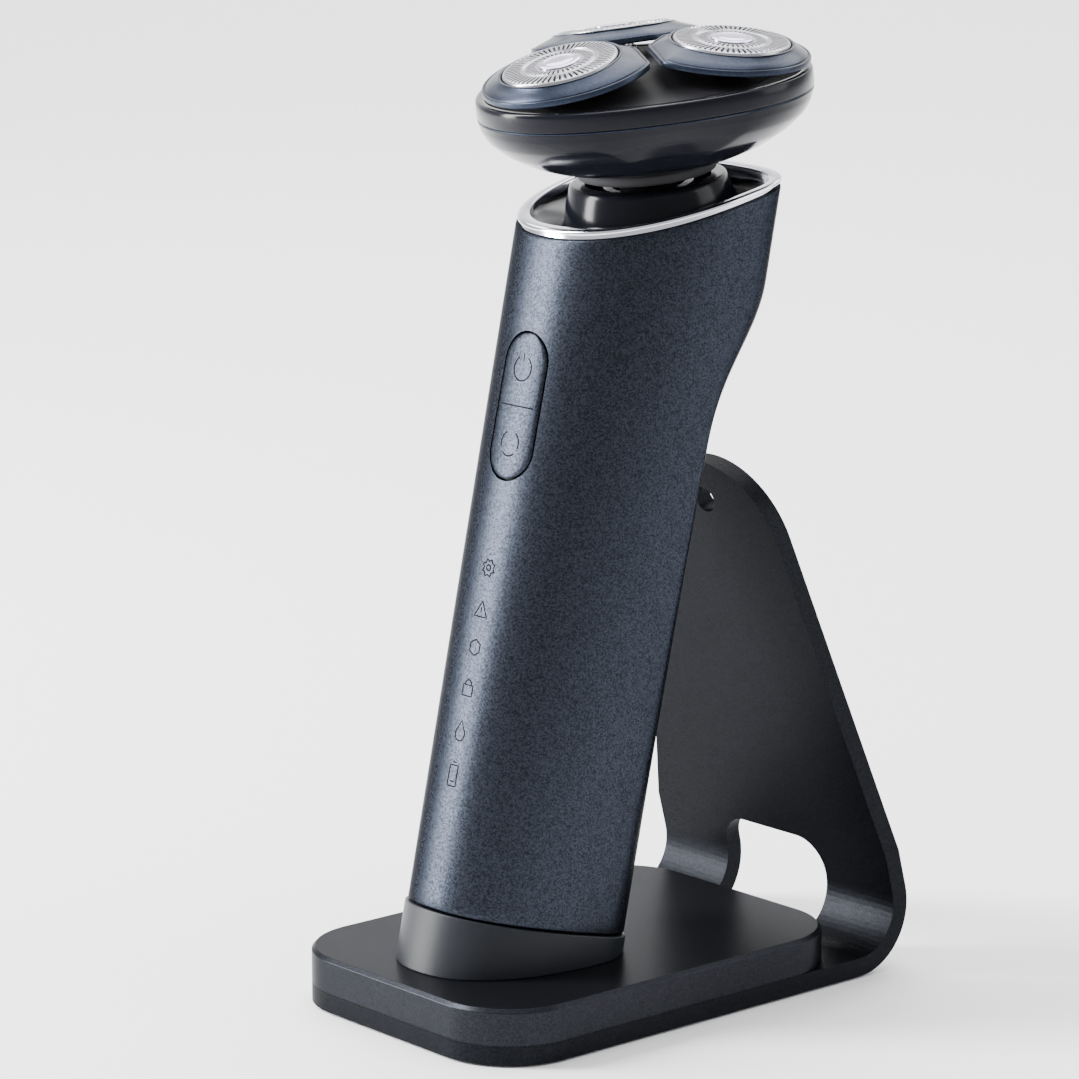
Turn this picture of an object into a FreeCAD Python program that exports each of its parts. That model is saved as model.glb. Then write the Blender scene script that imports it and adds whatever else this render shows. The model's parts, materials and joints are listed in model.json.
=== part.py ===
"""Cordless three-head rotary shaver, leaning back in its charging stand.

Frame: millimetres, +Z up, X to the side, -Y to the front (the side with the button).
The origin is the centre of the footprint, on the surface that the stand rests on.
Each sub-part is one STEP file in parts/.
"""
import FreeCAD, Part
import math
import os

from FreeCAD import Placement, Rotation, Vector

# ---- driving dimensions: charging stand ----
BASE_WIDTH = 64.0
BASE_DEPTH = 88.4
BASE_CORNER = 15.2
SHEET = 3.6
FOOT_PROUD = 0.4
HOUSING_HEIGHT = 6.8
HOUSING_WALL = 2.2
BEND_START = 89.8
BEND_INNER = 8.9
PLATE_LEAN = 14.9
TAPER_START = 7.6
PLATE_ARC_HEIGHT = 66.6
PLATE_ARC_RADIUS = 18.4
WINDOW_HALF = 13.9
WINDOW_TOP = 6.8
WINDOW_CORNER = 6.5
PLATE_HOLE_HEIGHT = 77.0
PLATE_HOLE_RADIUS = 2.5

# ---- driving dimensions: handle ----
FOOT_Y = 36.2
HANDLE_LEAN = 13.14
HANDLE_START = 5.4
SIDE_AT_FOOT = 18.25
SIDE_WIDENING = 0.033
FRONT_DEPTH = 27.9
BACK_AT_FOOT = 13.3
BACK_THINNING = 0.08
FLARE_DEPTH = 10.9
FLARE_START = 97.7
FLARE_END = 128.9
FRONT_POWER = 2.31
BACK_POWER = 1.98
BACK_TOP_POWER = 3.1
RIM_FRONT = 131.3
RIM_BACK = 150.1
SHELL_WALL = 1.6

# ---- driving dimensions: head ----
HEAD_Y = 63.25
HEAD_Z = 154.0
HEAD_LEAN = 7.6
SEAL_RADIUS = 13.0
NECK_TOP_RADIUS = 14.5
NECK_FLARE = 0.34
BOWL_BOTTOM = 1.3
SEAM_HEIGHT = 13.4
RING_TOP = 17.3
HEAD_RADIUS = 30.6
LOBE = 1.8
POD_RADIUS = 18.0
POD_TILT = 9.5
POD_BASE = 20.4
DISC_RADIUS = 10.8
POD_GAP = 1.0
POD_ANGLES = (-90.0, 30.0, 150.0)

# ---- driving dimensions: drive ----
CENTRE_TEETH = 21
CUTTER_TEETH = 24
GEAR_MODULE = 0.8

# ---- smaller dimensions ----
REACH = 60.0
SECTION_POINTS = 36
LOBED_POINTS = 36
WINDOW_FOOT_CORNER = 5.0
SCREW_HEAD = 2.2
SCREW_SHANK = 1.1
FOOT_RADIUS = 4.0
FOOT_DEPTH = 1.2
PLUG_INSET = 3.0
POCKET_INSET = 2.7
POCKET_FLOOR = 1.0
COLLAR_GROWTH = 0.45
FLOOR_LOW = -1.6
FLOOR_TOP = 0.65
PIN_X = 5.0
PIN_Y = -8.0
PIN_RADIUS = 0.9
PIN_TOP = 2.1
PIN_FLANGE = -1.65
CONTACT_FACE = 2.2
INLET_HALF = 4.0
INLET_TALL = 5.0
INLET_BORE = 1.75
INLET_BORE_DEPTH = 7.0
RIM_BAND = 1.7
DECK_DEPTH = 4.2
BUTTON_HEIGHT = 98.7
BUTTON_RADIUS = 5.9
BUTTON_HALF = 13.4
BUTTON_PROUD = 0.12
BOARD_Y = -21.6
FRAME_TOP = 109.0
MOTOR_RADIUS = 7.4
MOTOR_LOW = 110.6
MOTOR_HIGH = 127.0
NECK_TOP = -1.6
NECK_LENGTH = 11.0
PIVOT_Z = -3.6
COUPLING_Z = -14.0
SPINDLE_RADIUS = 1.4
SPINDLE_TOP = 15.8
FLANGE_LOW = 0.4
LATCH_RADIUS = 3.6
GEAR_LOW = 14.6
GEAR_HIGH = 16.1
COVER_LOW = 16.3
COVER_PEAK = 20.0
DRIVE_BALL_Z = 19.7
POD_TRUNCATION = 3.4
POD_CORNER = 17.5
POD_OUTER = 14.6
POD_BAND = 1.2
POD_TOP = 3.0
GUARD_TOP = 3.4
CUTTER_LOW = 1.25
GUARD_SLOTS = 60
CUTTER_BLADES = 10
# bowl profile: share of the height, radius, lobe
BOWL_PROFILE = (
    (0.0, 12.8, 0.0),
    (0.08, 17.2, 0.5),
    (0.24, 21.9, 0.9),
    (0.45, 26.2, 1.2),
    (0.68, 29.0, 1.5),
    (0.88, 30.3, 1.7),
    (1.0, 30.6, 1.8),
)

STAND_DEPTH = BEND_START + BEND_INNER + SHEET
FRONT_EDGE = -STAND_DEPTH / 2
SHEET_TOP = FOOT_PROUD + SHEET
BASE_TOP = SHEET_TOP + HOUSING_HEIGHT
X_AXIS = Vector(1, 0, 0)
Y_AXIS = Vector(0, 1, 0)
Z_AXIS = Vector(0, 0, 1)
ORIGIN = Vector(0, 0, 0)

HANDLE_FRAME = Placement(Vector(0, FRONT_EDGE + FOOT_Y, BASE_TOP), Rotation(X_AXIS, -HANDLE_LEAN))
HEAD_FRAME = Placement(Vector(0, FRONT_EDGE + HEAD_Y, HEAD_Z), Rotation(X_AXIS, HEAD_LEAN))
BEND_CENTRE = Vector(0, FRONT_EDGE + BEND_START, FOOT_PROUD + SHEET + BEND_INNER)
PLATE_FRAME = Placement(
    BEND_CENTRE + Rotation(X_AXIS, PLATE_LEAN).multVec(Vector(0, BEND_INNER, 0)),
    Rotation(X_AXIS, PLATE_LEAN),
)

SCREW_SPOTS = [(sx * 24.0, FRONT_EDGE + y) for sx in (-1, 1) for y in (14.0, 74.0)]
FOOT_SPOTS = [(sx * 20.0, FRONT_EDGE + y) for sx in (-1, 1) for y in (9.0, 81.0)]
RIM_BACK_DEPTH = BACK_AT_FOOT - BACK_THINNING * RIM_BACK + FLARE_DEPTH
INLET_Z = SHEET_TOP + 0.35 + INLET_TALL / 2 - 0.05
# the spindle and the motor shaft cross here
CROSSING = HANDLE_FRAME.inverse().multVec(HEAD_FRAME.multVec(Vector(0, 0, COUPLING_Z)))
CROSSING_HEIGHT = CROSSING.z
MOTOR_Y = CROSSING.y


# ---- general helpers ----
def moved(shape, frame):
    """A copy of the shape in a new place."""
    copy = shape.copy()
    copy.Placement = frame.multiply(copy.Placement)
    return copy


def cylinder(radius, low, high, x=0.0, y=0.0):
    """An upright cylinder between two heights."""
    return Part.makeCylinder(radius, high - low, Vector(x, y, low))


def box(x0, x1, y0, y1, z0, z1):
    """A box between its corners."""
    return Part.makeBox(x1 - x0, y1 - y0, z1 - z0, Vector(x0, y0, z0))


def prism(points, low, high):
    """A polygon in the XY plane, extruded from low to high."""
    corners = [Vector(x, y, low) for x, y in points]
    face = Part.Face(Part.makePolygon(corners + corners[:1]))
    return face.extrude(Vector(0, 0, high - low))


def rounded_rectangle(x0, x1, y0, y1, radius, low, high):
    """A block with its four upright edges rounded."""
    block = box(x0, x1, y0, y1, low, high)
    upright = [e for e in block.Edges if abs(e.tangentAt(e.FirstParameter).z) > 0.9]
    return block.makeFillet(radius, upright)


def edges_at_height(shape, height, tolerance=0.01):
    """The edges of a shape that lie in one horizontal plane."""
    found = []
    for edge in shape.Edges:
        box_ = edge.BoundBox
        if abs(box_.ZMin - height) < tolerance and abs(box_.ZMax - height) < tolerance:
            found.append(edge)
    return found


def closed_curve(points):
    """A smooth closed wire through the points."""
    curve = Part.BSplineCurve()
    curve.interpolate(points, PeriodicFlag=True)
    return Part.Wire([curve.toShape()])


def coil_spring(radius, wire, low, high, turns):
    """A compression spring drawn as a coil of round wire."""
    rise = high - low - wire
    helix = Part.makeHelix(rise / turns, rise, radius)
    circle = Part.Wire([Part.makeCircle(wire / 2, Vector(radius, 0, 0), Y_AXIS)])
    coil = helix.makePipeShell([circle], True, True)
    coil.translate(Vector(0, 0, low + wire / 2))
    return coil


# ---- charging stand ----
def plate_outline():
    """The leaning plate's outline: straight sides that taper into a round top."""
    half = BASE_WIDTH / 2
    rise = PLATE_ARC_HEIGHT - TAPER_START
    slope = math.acos(PLATE_ARC_RADIUS / math.hypot(half, rise)) - math.atan2(rise, half)
    tangent_x = PLATE_ARC_RADIUS * math.cos(slope)
    tangent_z = PLATE_ARC_HEIGHT + PLATE_ARC_RADIUS * math.sin(slope)
    corners = [
        Vector(-tangent_x, 0, tangent_z),
        Vector(-half, 0, TAPER_START),
        Vector(-half, 0, 0),
        Vector(half, 0, 0),
        Vector(half, 0, TAPER_START),
        Vector(tangent_x, 0, tangent_z),
    ]
    edges = [Part.LineSegment(a, b).toShape() for a, b in zip(corners, corners[1:])]
    top = Vector(0, 0, PLATE_ARC_HEIGHT + PLATE_ARC_RADIUS)
    edges.append(Part.Arc(corners[-1], top, corners[0]).toShape())
    return Part.Face(Part.Wire(edges))


def base_block(low, high, inset=0.0, rear=BASE_DEPTH):
    """The stand's plan shape between two heights."""
    return rounded_rectangle(
        -BASE_WIDTH / 2 + inset,
        BASE_WIDTH / 2 - inset,
        FRONT_EDGE + inset,
        FRONT_EDGE + rear - inset,
        BASE_CORNER - inset,
        low,
        high,
    )




def make_stand_sheet():
    """Flat bottom, rear bend and leaning plate of one bent sheet."""
    low = FOOT_PROUD
    flat = base_block(low, SHEET_TOP, rear=BEND_START + 2 * BASE_CORNER)
    flat = flat.common(box(-50, 50, FRONT_EDGE - 1, FRONT_EDGE + BEND_START, low - 1, SHEET_TOP + 1))
    turn = 90 + PLATE_LEAN
    outer = Part.makeCylinder(BEND_INNER + SHEET, BASE_WIDTH, ORIGIN, Z_AXIS, turn)
    inner = Part.makeCylinder(BEND_INNER, BASE_WIDTH, ORIGIN, Z_AXIS, turn)
    bend = outer.cut(inner)
    # the cylinder's axis goes along X and its sweep starts pointing straight down
    upright = Rotation(Vector(0, 0, -1), Vector(1, 0, 0), X_AXIS, "ZXY")
    bend.Placement = Placement(BEND_CENTRE - Vector(BASE_WIDTH / 2, 0, 0), upright)
    plate = moved(plate_outline().extrude(Vector(0, SHEET, 0)), PLATE_FRAME)
    sheet = flat.fuse([bend, plate]).removeSplitter()
    lower = rounded_rectangle(
        -WINDOW_HALF,
        WINDOW_HALF,
        FRONT_EDGE + BASE_DEPTH + 0.3,
        FRONT_EDGE + STAND_DEPTH + 20,
        WINDOW_FOOT_CORNER,
        -1,
        BEND_CENTRE.z,
    )
    upper = box(-WINDOW_HALF, WINDOW_HALF, -8, SHEET + 3, -13, WINDOW_TOP)
    across = [
        e
        for e in upper.Edges
        if abs(e.tangentAt(e.FirstParameter).y) > 0.9 and e.BoundBox.ZMin > WINDOW_TOP - 1
    ]
    upper = moved(upper.makeFillet(WINDOW_CORNER, across), PLATE_FRAME)
    sheet = sheet.cut(lower).cut(upper)
    hole = Part.makeCylinder(PLATE_HOLE_RADIUS, 3 * SHEET, Vector(0, -SHEET, PLATE_HOLE_HEIGHT), Y_AXIS)
    sheet = sheet.cut(moved(hole, PLATE_FRAME))
    for x, y in SCREW_SPOTS:
        sheet = sheet.cut(cylinder(SCREW_SHANK + 0.15, -1, SHEET_TOP + 1, x, y))
        sheet = sheet.cut(cylinder(SCREW_HEAD + 0.2, -1, low + 1.4, x, y))
    for x, y in FOOT_SPOTS:
        sheet = sheet.cut(cylinder(FOOT_RADIUS + 0.05, -1, FOOT_DEPTH, x, y))
    return sheet


def handle_section(height, inset=0.0):
    """Points of the handle's outline at a height along its axis.

    Each quarter is a superellipse. The front is deep. The back is shallow, thins
    upwards, and flares out again below the rim along a smooth step.
    """
    step = min(max((height - FLARE_START) / (FLARE_END - FLARE_START), 0.0), 1.0)
    step = step * step * (3 - 2 * step)
    side = SIDE_AT_FOOT + SIDE_WIDENING * height - inset
    front = FRONT_DEPTH - inset
    back = BACK_AT_FOOT - BACK_THINNING * height + FLARE_DEPTH * step - inset
    back_power = BACK_POWER + (BACK_TOP_POWER - BACK_POWER) * step
    points = []
    for k in range(SECTION_POINTS):
        angle = 2 * math.pi * k / SECTION_POINTS
        c, s = math.cos(angle), math.sin(angle)
        power = 2 / (back_power if s > 0 else FRONT_POWER)
        depth = back if s > 0 else front
        x = side * math.copysign(abs(c) ** power, c)
        y = depth * math.copysign(abs(s) ** power, s)
        points.append(Vector(x, y, height))
    return points


def handle_solid(low, high, inset=0.0, sections=12):
    """A solid with the handle's section from one height to another."""
    heights = [low + (high - low) * k / (sections - 1) for k in range(sections)]
    wires = [closed_curve(handle_section(h, inset)) for h in heights]
    return Part.makeLoft(wires, True, False)


def above_rim(offset):
    """Everything above the slanted rim plane, moved along the handle's axis."""
    slope = (RIM_BACK - RIM_FRONT) / (FRONT_DEPTH + RIM_BACK_DEPTH)
    z0 = RIM_FRONT + slope * (FRONT_DEPTH - REACH) + offset
    z1 = RIM_FRONT + slope * (FRONT_DEPTH + REACH) + offset
    corners = [
        Vector(-REACH, -REACH, z0),
        Vector(-REACH, REACH, z1),
        Vector(-REACH, REACH, 4 * REACH),
        Vector(-REACH, -REACH, 4 * REACH),
    ]
    face = Part.Face(Part.makePolygon(corners + corners[:1]))
    return face.extrude(Vector(2 * REACH, 0, 0))


def make_dock_collar():
    """Wedge that carries the shaver's foot: tall in front, flush at the back."""
    outer = handle_solid(-12, HANDLE_START - 0.3, -COLLAR_GROWTH, 3)
    pocket = handle_solid(-14, HANDLE_START + 1, POCKET_INSET, 3)
    wedge = moved(outer.cut(pocket), HANDLE_FRAME)
    return wedge.common(box(-REACH, REACH, -90, 90, BASE_TOP, REACH))


def make_base_housing():
    """Hollow block on the sheet, with screw bosses and the socket's window."""
    block = base_block(SHEET_TOP, BASE_TOP)
    block = block.makeChamfer(0.7, edges_at_height(block, BASE_TOP))
    hollow = base_block(SHEET_TOP - 1, BASE_TOP - HOUSING_WALL, HOUSING_WALL)
    for x, y in SCREW_SPOTS:
        hollow = hollow.cut(cylinder(3.2, SHEET_TOP - 2, BASE_TOP, x, y))
    block = block.cut(hollow)
    for x, y in SCREW_SPOTS:
        block = block.cut(cylinder(SCREW_SHANK + 0.02, SHEET_TOP - 1, SHEET_TOP + 4.2, x, y))
    block = block.cut(moved(handle_solid(-8, HANDLE_START + 1, POCKET_INSET, 3), HANDLE_FRAME))
    rear = FRONT_EDGE + BASE_DEPTH
    low = SHEET_TOP + 0.3
    return block.cut(box(-INLET_HALF, INLET_HALF, rear - 9.5, rear + 5, low, low + INLET_TALL))


def make_dock_floor():
    """Insulating floor of the dock, with bores for the two contact pins."""
    floor = handle_solid(FLOOR_LOW, FLOOR_TOP, POCKET_INSET + 0.1, 3)
    for sx in (-1, 1):
        floor = floor.cut(cylinder(PIN_RADIUS + 0.06, FLOOR_LOW - 2, 8, sx * PIN_X, PIN_Y))
    return moved(floor, HANDLE_FRAME)


def make_dock_pin(side):
    """Charging contact with a collar under the dock floor."""
    pin = cylinder(PIN_RADIUS, PIN_FLANGE - 1.2, PIN_TOP, side * PIN_X, PIN_Y)
    flange = cylinder(PIN_RADIUS + 0.6, PIN_FLANGE - 0.5, PIN_FLANGE, side * PIN_X, PIN_Y)
    return moved(pin.fuse(flange).removeSplitter(), HANDLE_FRAME)


def make_dock_spring(side):
    """Spring under a charging contact."""
    coil = coil_spring(1.2, 0.24, PIN_FLANGE - 5.7, PIN_FLANGE - 0.55, 7)
    coil.translate(Vector(side * PIN_X, PIN_Y, 0))
    return moved(coil, HANDLE_FRAME)


def make_charge_board():
    """Circuit board on the sheet, with a few components."""
    y = FRONT_EDGE
    board = box(-18, 18, y + 24, y + 79, SHEET_TOP + 0.05, SHEET_TOP + 1.05)
    blocks = [
        box(-14, -6, y + 58, y + 66, SHEET_TOP + 1.05, SHEET_TOP + 3.4),
        box(4, 13, y + 52, y + 60, SHEET_TOP + 1.05, SHEET_TOP + 2.4),
        cylinder(2.6, SHEET_TOP + 1.05, SHEET_TOP + 3.8, 10, y + 68),
    ]
    return board.fuse(blocks).removeSplitter()


def make_charge_inlet():
    """Low-voltage socket in the rear wall, a round bore in a small block."""
    rear = FRONT_EDGE + BASE_DEPTH
    low = SHEET_TOP + 0.35
    half = INLET_HALF - 0.05
    block = box(-half, half, rear - 9.0, rear - 0.4, low, low + INLET_TALL - 0.1)
    bore = Part.makeCylinder(INLET_BORE, INLET_BORE_DEPTH, Vector(0, rear - 0.4, INLET_Z), Vector(0, -1, 0))
    return block.cut(bore)


def make_base_feet():
    """Four rubber feet, sunk into the sheet."""
    feet = [cylinder(FOOT_RADIUS, 0, FOOT_DEPTH - 0.05, x, y) for x, y in FOOT_SPOTS]
    return Part.makeCompound(feet)


def make_base_screws():
    """Four screws through the sheet into the housing."""
    screws = []
    for x, y in SCREW_SPOTS:
        head = cylinder(SCREW_HEAD, FOOT_PROUD + 0.2, FOOT_PROUD + 1.35, x, y)
        shank = cylinder(SCREW_SHANK, FOOT_PROUD + 1.0, SHEET_TOP + 4.0, x, y)
        slot = box(x - 0.3, x + 0.3, y - 1.4, y + 1.4, 0, FOOT_PROUD + 0.8)
        screws.append(head.fuse(shank).removeSplitter().cut(slot))
    return Part.makeCompound(screws)


# ---- handle ----
def pill(radius, half_length):
    """A pill-shaped bar through the front of the handle, along its depth."""
    low, high = BUTTON_HEIGHT - half_length, BUTTON_HEIGHT + half_length
    bar = box(-radius, radius, -40, -10, low, high)
    edges = [e for e in bar.Edges if abs(e.tangentAt(e.FirstParameter).y) > 0.9]
    return bar.makeFillet(radius * 0.999, edges)


def make_handle_shell():
    """Metal body sleeve, open at the foot and at the slanted top."""
    outer = handle_solid(HANDLE_START, RIM_BACK + 12, 0.0, 15)
    inner = handle_solid(HANDLE_START - 1, RIM_BACK + 13, SHELL_WALL, 15)
    shell = outer.cut(inner).cut(above_rim(-RIM_BAND))
    return moved(shell.cut(pill(BUTTON_RADIUS + 0.25, BUTTON_HALF + 0.25)), HANDLE_FRAME)


def rim_band(low, high, outer_inset, inner_inset):
    """A ring between two slanted planes below the rim."""
    solid = handle_solid(RIM_FRONT - 12, RIM_BACK + 12, outer_inset, 7)
    if inner_inset:
        solid = solid.cut(handle_solid(RIM_FRONT - 13, RIM_BACK + 13, inner_inset, 7))
    return solid.cut(above_rim(high)).common(above_rim(low))


def make_rim_trim():
    """Polished ring round the slanted top, with a skirt inside the shell."""
    ring = rim_band(-RIM_BAND + 0.25, 0.0, 0.1, 2.1)
    skirt = rim_band(-RIM_BAND - 2.5, -RIM_BAND + 0.25, SHELL_WALL + 0.1, SHELL_WALL + 0.9)
    bridge = rim_band(-RIM_BAND + 0.25, -RIM_BAND + 0.9, SHELL_WALL + 0.1, 2.6)
    return moved(ring.fuse([skirt, bridge]).removeSplitter(), HANDLE_FRAME)


def neck_cone(growth, low, high):
    """The neck's cone in the head's frame, grown by a clearance."""
    def radius(z):
        return NECK_TOP_RADIUS + NECK_FLARE * (NECK_TOP - z) + growth

    return Part.makeCone(radius(low), radius(high), high - low, Vector(0, 0, low), Z_AXIS)


def make_deck():
    """Glossy floor inside the rim, open round the neck."""
    floor = rim_band(-DECK_DEPTH - 1.2, -DECK_DEPTH, SHELL_WALL + 1.1, 0.0)
    floor = moved(floor, HANDLE_FRAME)
    return floor.cut(moved(neck_cone(0.1, NECK_TOP - 20, NECK_TOP), HEAD_FRAME))


def make_neck():
    """Conical collar that carries the head's tilting mount."""
    low = NECK_TOP - NECK_LENGTH
    cone = neck_cone(0, low, NECK_TOP).cut(neck_cone(-1.5, low - 1, NECK_TOP - 1.4))
    cone = cone.cut(cylinder(11.6, NECK_TOP - 3, NECK_TOP + 1))
    plate = cylinder(15.0, NECK_TOP - 5.2, NECK_TOP - 4.0)
    plate = plate.cut(cylinder(SPINDLE_RADIUS + 1.7, NECK_TOP - 9, NECK_TOP))
    ears = [
        box(sx * 9.8 - 1.0, sx * 9.8 + 1.0, -2.2, 2.2, NECK_TOP - 4.1, PIVOT_Z + 1.1)
        for sx in (-1, 1)
    ]
    body = cone.fuse([plate] + ears).removeSplitter()
    pin_hole = Part.makeCylinder(0.66, 30, Vector(-15, 0, PIVOT_Z), X_AXIS)
    keep = box(-10.9, 10.9, -3, 3, PIVOT_Z - 1.5, PIVOT_Z + 1.5)
    neck = moved(body.cut(pin_hole.common(keep)), HEAD_FRAME)
    return neck.common(moved(handle_solid(100, RIM_BACK + 25, SHELL_WALL + 1.2, 12), HANDLE_FRAME))


def make_neck_bearing():
    """Plain bearing for the spindle, in the neck's floor."""
    ring = cylinder(SPINDLE_RADIUS + 1.65, NECK_TOP - 6.4, NECK_TOP - 4.05)
    return moved(ring.cut(cylinder(SPINDLE_RADIUS + 0.04, NECK_TOP - 9, NECK_TOP)), HEAD_FRAME)


def make_inner_frame():
    """Chassis: a liner round the back, two bulkheads and the battery's cradle."""
    liner = handle_solid(10, FRAME_TOP, SHELL_WALL + 0.3, 12)
    liner = liner.cut(handle_solid(9, FRAME_TOP + 1, SHELL_WALL + 1.4, 12))
    frame = liner.common(box(-REACH, REACH, -15, REACH, 0, 200))
    for z in (64.5, FRAME_TOP - 2.4):
        bulkhead = handle_solid(z, z + 1.6, SHELL_WALL + 0.8, 3)
        frame = frame.fuse(bulkhead.common(box(-REACH, REACH, -20.5, REACH, 0, 200)))
    return moved(frame.cut(cylinder(3.2, 60, 200, 0, MOTOR_Y)), HANDLE_FRAME)


def make_foot_cap():
    """Bottom cap: a plug inside the shell and the foot that sits in the dock."""
    foot = handle_solid(POCKET_FLOOR, HANDLE_START + 0.05, PLUG_INSET, 3)
    plug = handle_solid(HANDLE_START + 0.05, 9.6, SHELL_WALL + 0.12, 3)
    plug = plug.cut(handle_solid(HANDLE_START + 1.6, 11, SHELL_WALL + 1.6, 3))
    cap = foot.fuse(plug).removeSplitter()
    groove = handle_solid(HANDLE_START + 0.9, HANDLE_START + 2.1, SHELL_WALL - 1, 3)
    groove = groove.cut(handle_solid(HANDLE_START, HANDLE_START + 3, SHELL_WALL + 0.72, 3))
    cap = cap.cut(groove)
    for sx in (-1, 1):
        cap = cap.cut(cylinder(1.7, POCKET_FLOOR - 1, CONTACT_FACE, sx * PIN_X, PIN_Y))
        cap = cap.cut(cylinder(1.25, POCKET_FLOOR - 1, HANDLE_START + 3, sx * PIN_X, PIN_Y))
    return moved(cap, HANDLE_FRAME)


def make_foot_contacts():
    """Two metal studs that meet the dock's pins."""
    studs = [
        cylinder(1.2, CONTACT_FACE, HANDLE_START + 2.6, sx * PIN_X, PIN_Y) for sx in (-1, 1)
    ]
    return moved(Part.makeCompound(studs), HANDLE_FRAME)


def make_foot_seal():
    """Rubber ring in the cap's groove."""
    ring = handle_solid(HANDLE_START + 1.0, HANDLE_START + 2.0, SHELL_WALL + 0.06, 3)
    return moved(ring.cut(handle_solid(HANDLE_START, HANDLE_START + 3, SHELL_WALL + 0.7, 3)), HANDLE_FRAME)


def make_battery_cell():
    """Round lithium cell with its raised end cap."""
    can = cylinder(7.1, 12.5, 61.5, 0, -7.5)
    return moved(can.fuse(cylinder(2.6, 61.4, 63.0, 0, -7.5)).removeSplitter(), HANDLE_FRAME)


def make_control_board():
    """Long circuit board behind the front wall."""
    board = box(-8.5, 8.5, BOARD_Y - 1.0, BOARD_Y, 20, 116)
    parts_on_board = [
        box(-4, 4, BOARD_Y, BOARD_Y + 1.4, 84, 92),
        box(-6, -1, BOARD_Y, BOARD_Y + 1.1, 74, 80),
        box(1, 6, BOARD_Y, BOARD_Y + 1.1, 70, 76),
    ]
    return moved(board.fuse(parts_on_board).removeSplitter(), HANDLE_FRAME)


def make_motor():
    """Small motor can with a bearing boss."""
    can = cylinder(MOTOR_RADIUS, MOTOR_LOW, MOTOR_HIGH, 0, MOTOR_Y)
    boss = cylinder(2.6, MOTOR_HIGH - 0.1, MOTOR_HIGH + 1.2, 0, MOTOR_Y)
    return moved(can.fuse(boss).removeSplitter().cut(cylinder(0.94, MOTOR_LOW + 3, 200, 0, MOTOR_Y)), HANDLE_FRAME)


def make_motor_driver():
    """Motor shaft with a ball end that turns the spindle at an angle."""
    shaft = cylinder(0.9, MOTOR_LOW + 4, CROSSING_HEIGHT, 0, MOTOR_Y)
    ball = Part.makeSphere(1.8, Vector(0, MOTOR_Y, CROSSING_HEIGHT))
    return moved(shaft.fuse(ball).removeSplitter(), HANDLE_FRAME)


def make_drive_spindle():
    """Spindle from the motor's ball end up through the neck to the head."""
    cup = cylinder(3.3, COUPLING_Z - 2.2, COUPLING_Z + 3.4)
    cup = cup.cut(cylinder(2.3, COUPLING_Z - 3, COUPLING_Z + 2.3))
    rod = cylinder(SPINDLE_RADIUS, COUPLING_Z + 3.3, SPINDLE_TOP)
    return moved(cup.fuse(rod).removeSplitter(), HEAD_FRAME)


def make_button():
    """Rocking pill: one end switches on, the other end changes the mode."""
    skin = handle_solid(70, 125, -BUTTON_PROUD, 12).cut(handle_solid(69, 126, 1.1, 12))
    return moved(skin.common(pill(BUTTON_RADIUS, BUTTON_HALF)), HANDLE_FRAME)


def make_button_seal():
    """Rubber membrane behind the button."""
    skin = handle_solid(70, 125, SHELL_WALL + 0.05, 12).cut(handle_solid(69, 126, SHELL_WALL + 0.6, 12))
    return moved(skin.common(pill(BUTTON_RADIUS + 1.6, BUTTON_HALF + 1.6)), HANDLE_FRAME)


def make_button_switches():
    """Two tact switches on the control board, one under each end."""
    switches = []
    for end in (-1, 1):
        z = BUTTON_HEIGHT + end * 8.5
        body = box(-2.2, 2.2, BOARD_Y - 2.2, BOARD_Y - 1.0, z - 2.2, z + 2.2)
        tip = Part.makeCylinder(1.0, 1.2, Vector(0, BOARD_Y - 2.1, z), Vector(0, -1, 0))
        switches.append(body.fuse(tip).removeSplitter())
    return moved(Part.makeCompound(switches), HANDLE_FRAME)


def make_display_lens():
    """Light guide behind the row of indicator symbols."""
    skin = handle_solid(22, 76, SHELL_WALL + 0.05, 3).cut(handle_solid(21, 77, SHELL_WALL + 0.9, 3))
    return moved(skin.common(box(-4, 4, -40, -10, 24, 73)), HANDLE_FRAME)


# ---- tilting mount and head ----
def make_tilt_ring():
    """Gimbal ring with two pins in the neck's ears."""
    ring = cylinder(8.4, PIVOT_Z - 0.9, PIVOT_Z + 0.9).cut(cylinder(6.9, PIVOT_Z - 2, PIVOT_Z + 2))
    pins = [
        Part.makeCylinder(0.6, 2.6, Vector(sx * 8.1, 0, PIVOT_Z), Vector(sx, 0, 0)) for sx in (-1, 1)
    ]
    ring = ring.fuse(pins).removeSplitter()
    return moved(ring.cut(Part.makeCylinder(0.66, 30, Vector(0, -15, PIVOT_Z), Y_AXIS)), HEAD_FRAME)


def make_head_mount():
    """Flange and socket that the head plugs into, with two pivot pins."""
    flange = cylinder(SEAL_RADIUS - 0.3, FLANGE_LOW, BOWL_BOTTOM - 0.05)
    tube = cylinder(5.4, PIVOT_Z - 1.1, FLANGE_LOW + 0.1)
    pins = [
        Part.makeCylinder(0.6, 2.6, Vector(0, sy * 5.2, PIVOT_Z), Vector(0, sy, 0)) for sy in (-1, 1)
    ]
    body = flange.fuse([tube] + pins).removeSplitter()
    return moved(body.cut(cylinder(LATCH_RADIUS + 0.1, PIVOT_Z - 4, 4)), HEAD_FRAME)


def make_neck_seal():
    """Rubber disc under the head, round the mount."""
    disc = cylinder(SEAL_RADIUS, -0.6, FLANGE_LOW - 0.02)
    rim = cylinder(SEAL_RADIUS, FLANGE_LOW - 0.03, BOWL_BOTTOM - 0.1)
    rim = rim.cut(cylinder(SEAL_RADIUS - 0.25, FLANGE_LOW - 1, BOWL_BOTTOM))
    return moved(disc.fuse(rim).removeSplitter().cut(cylinder(11.0, -2, FLANGE_LOW - 0.01)), HEAD_FRAME)


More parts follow.
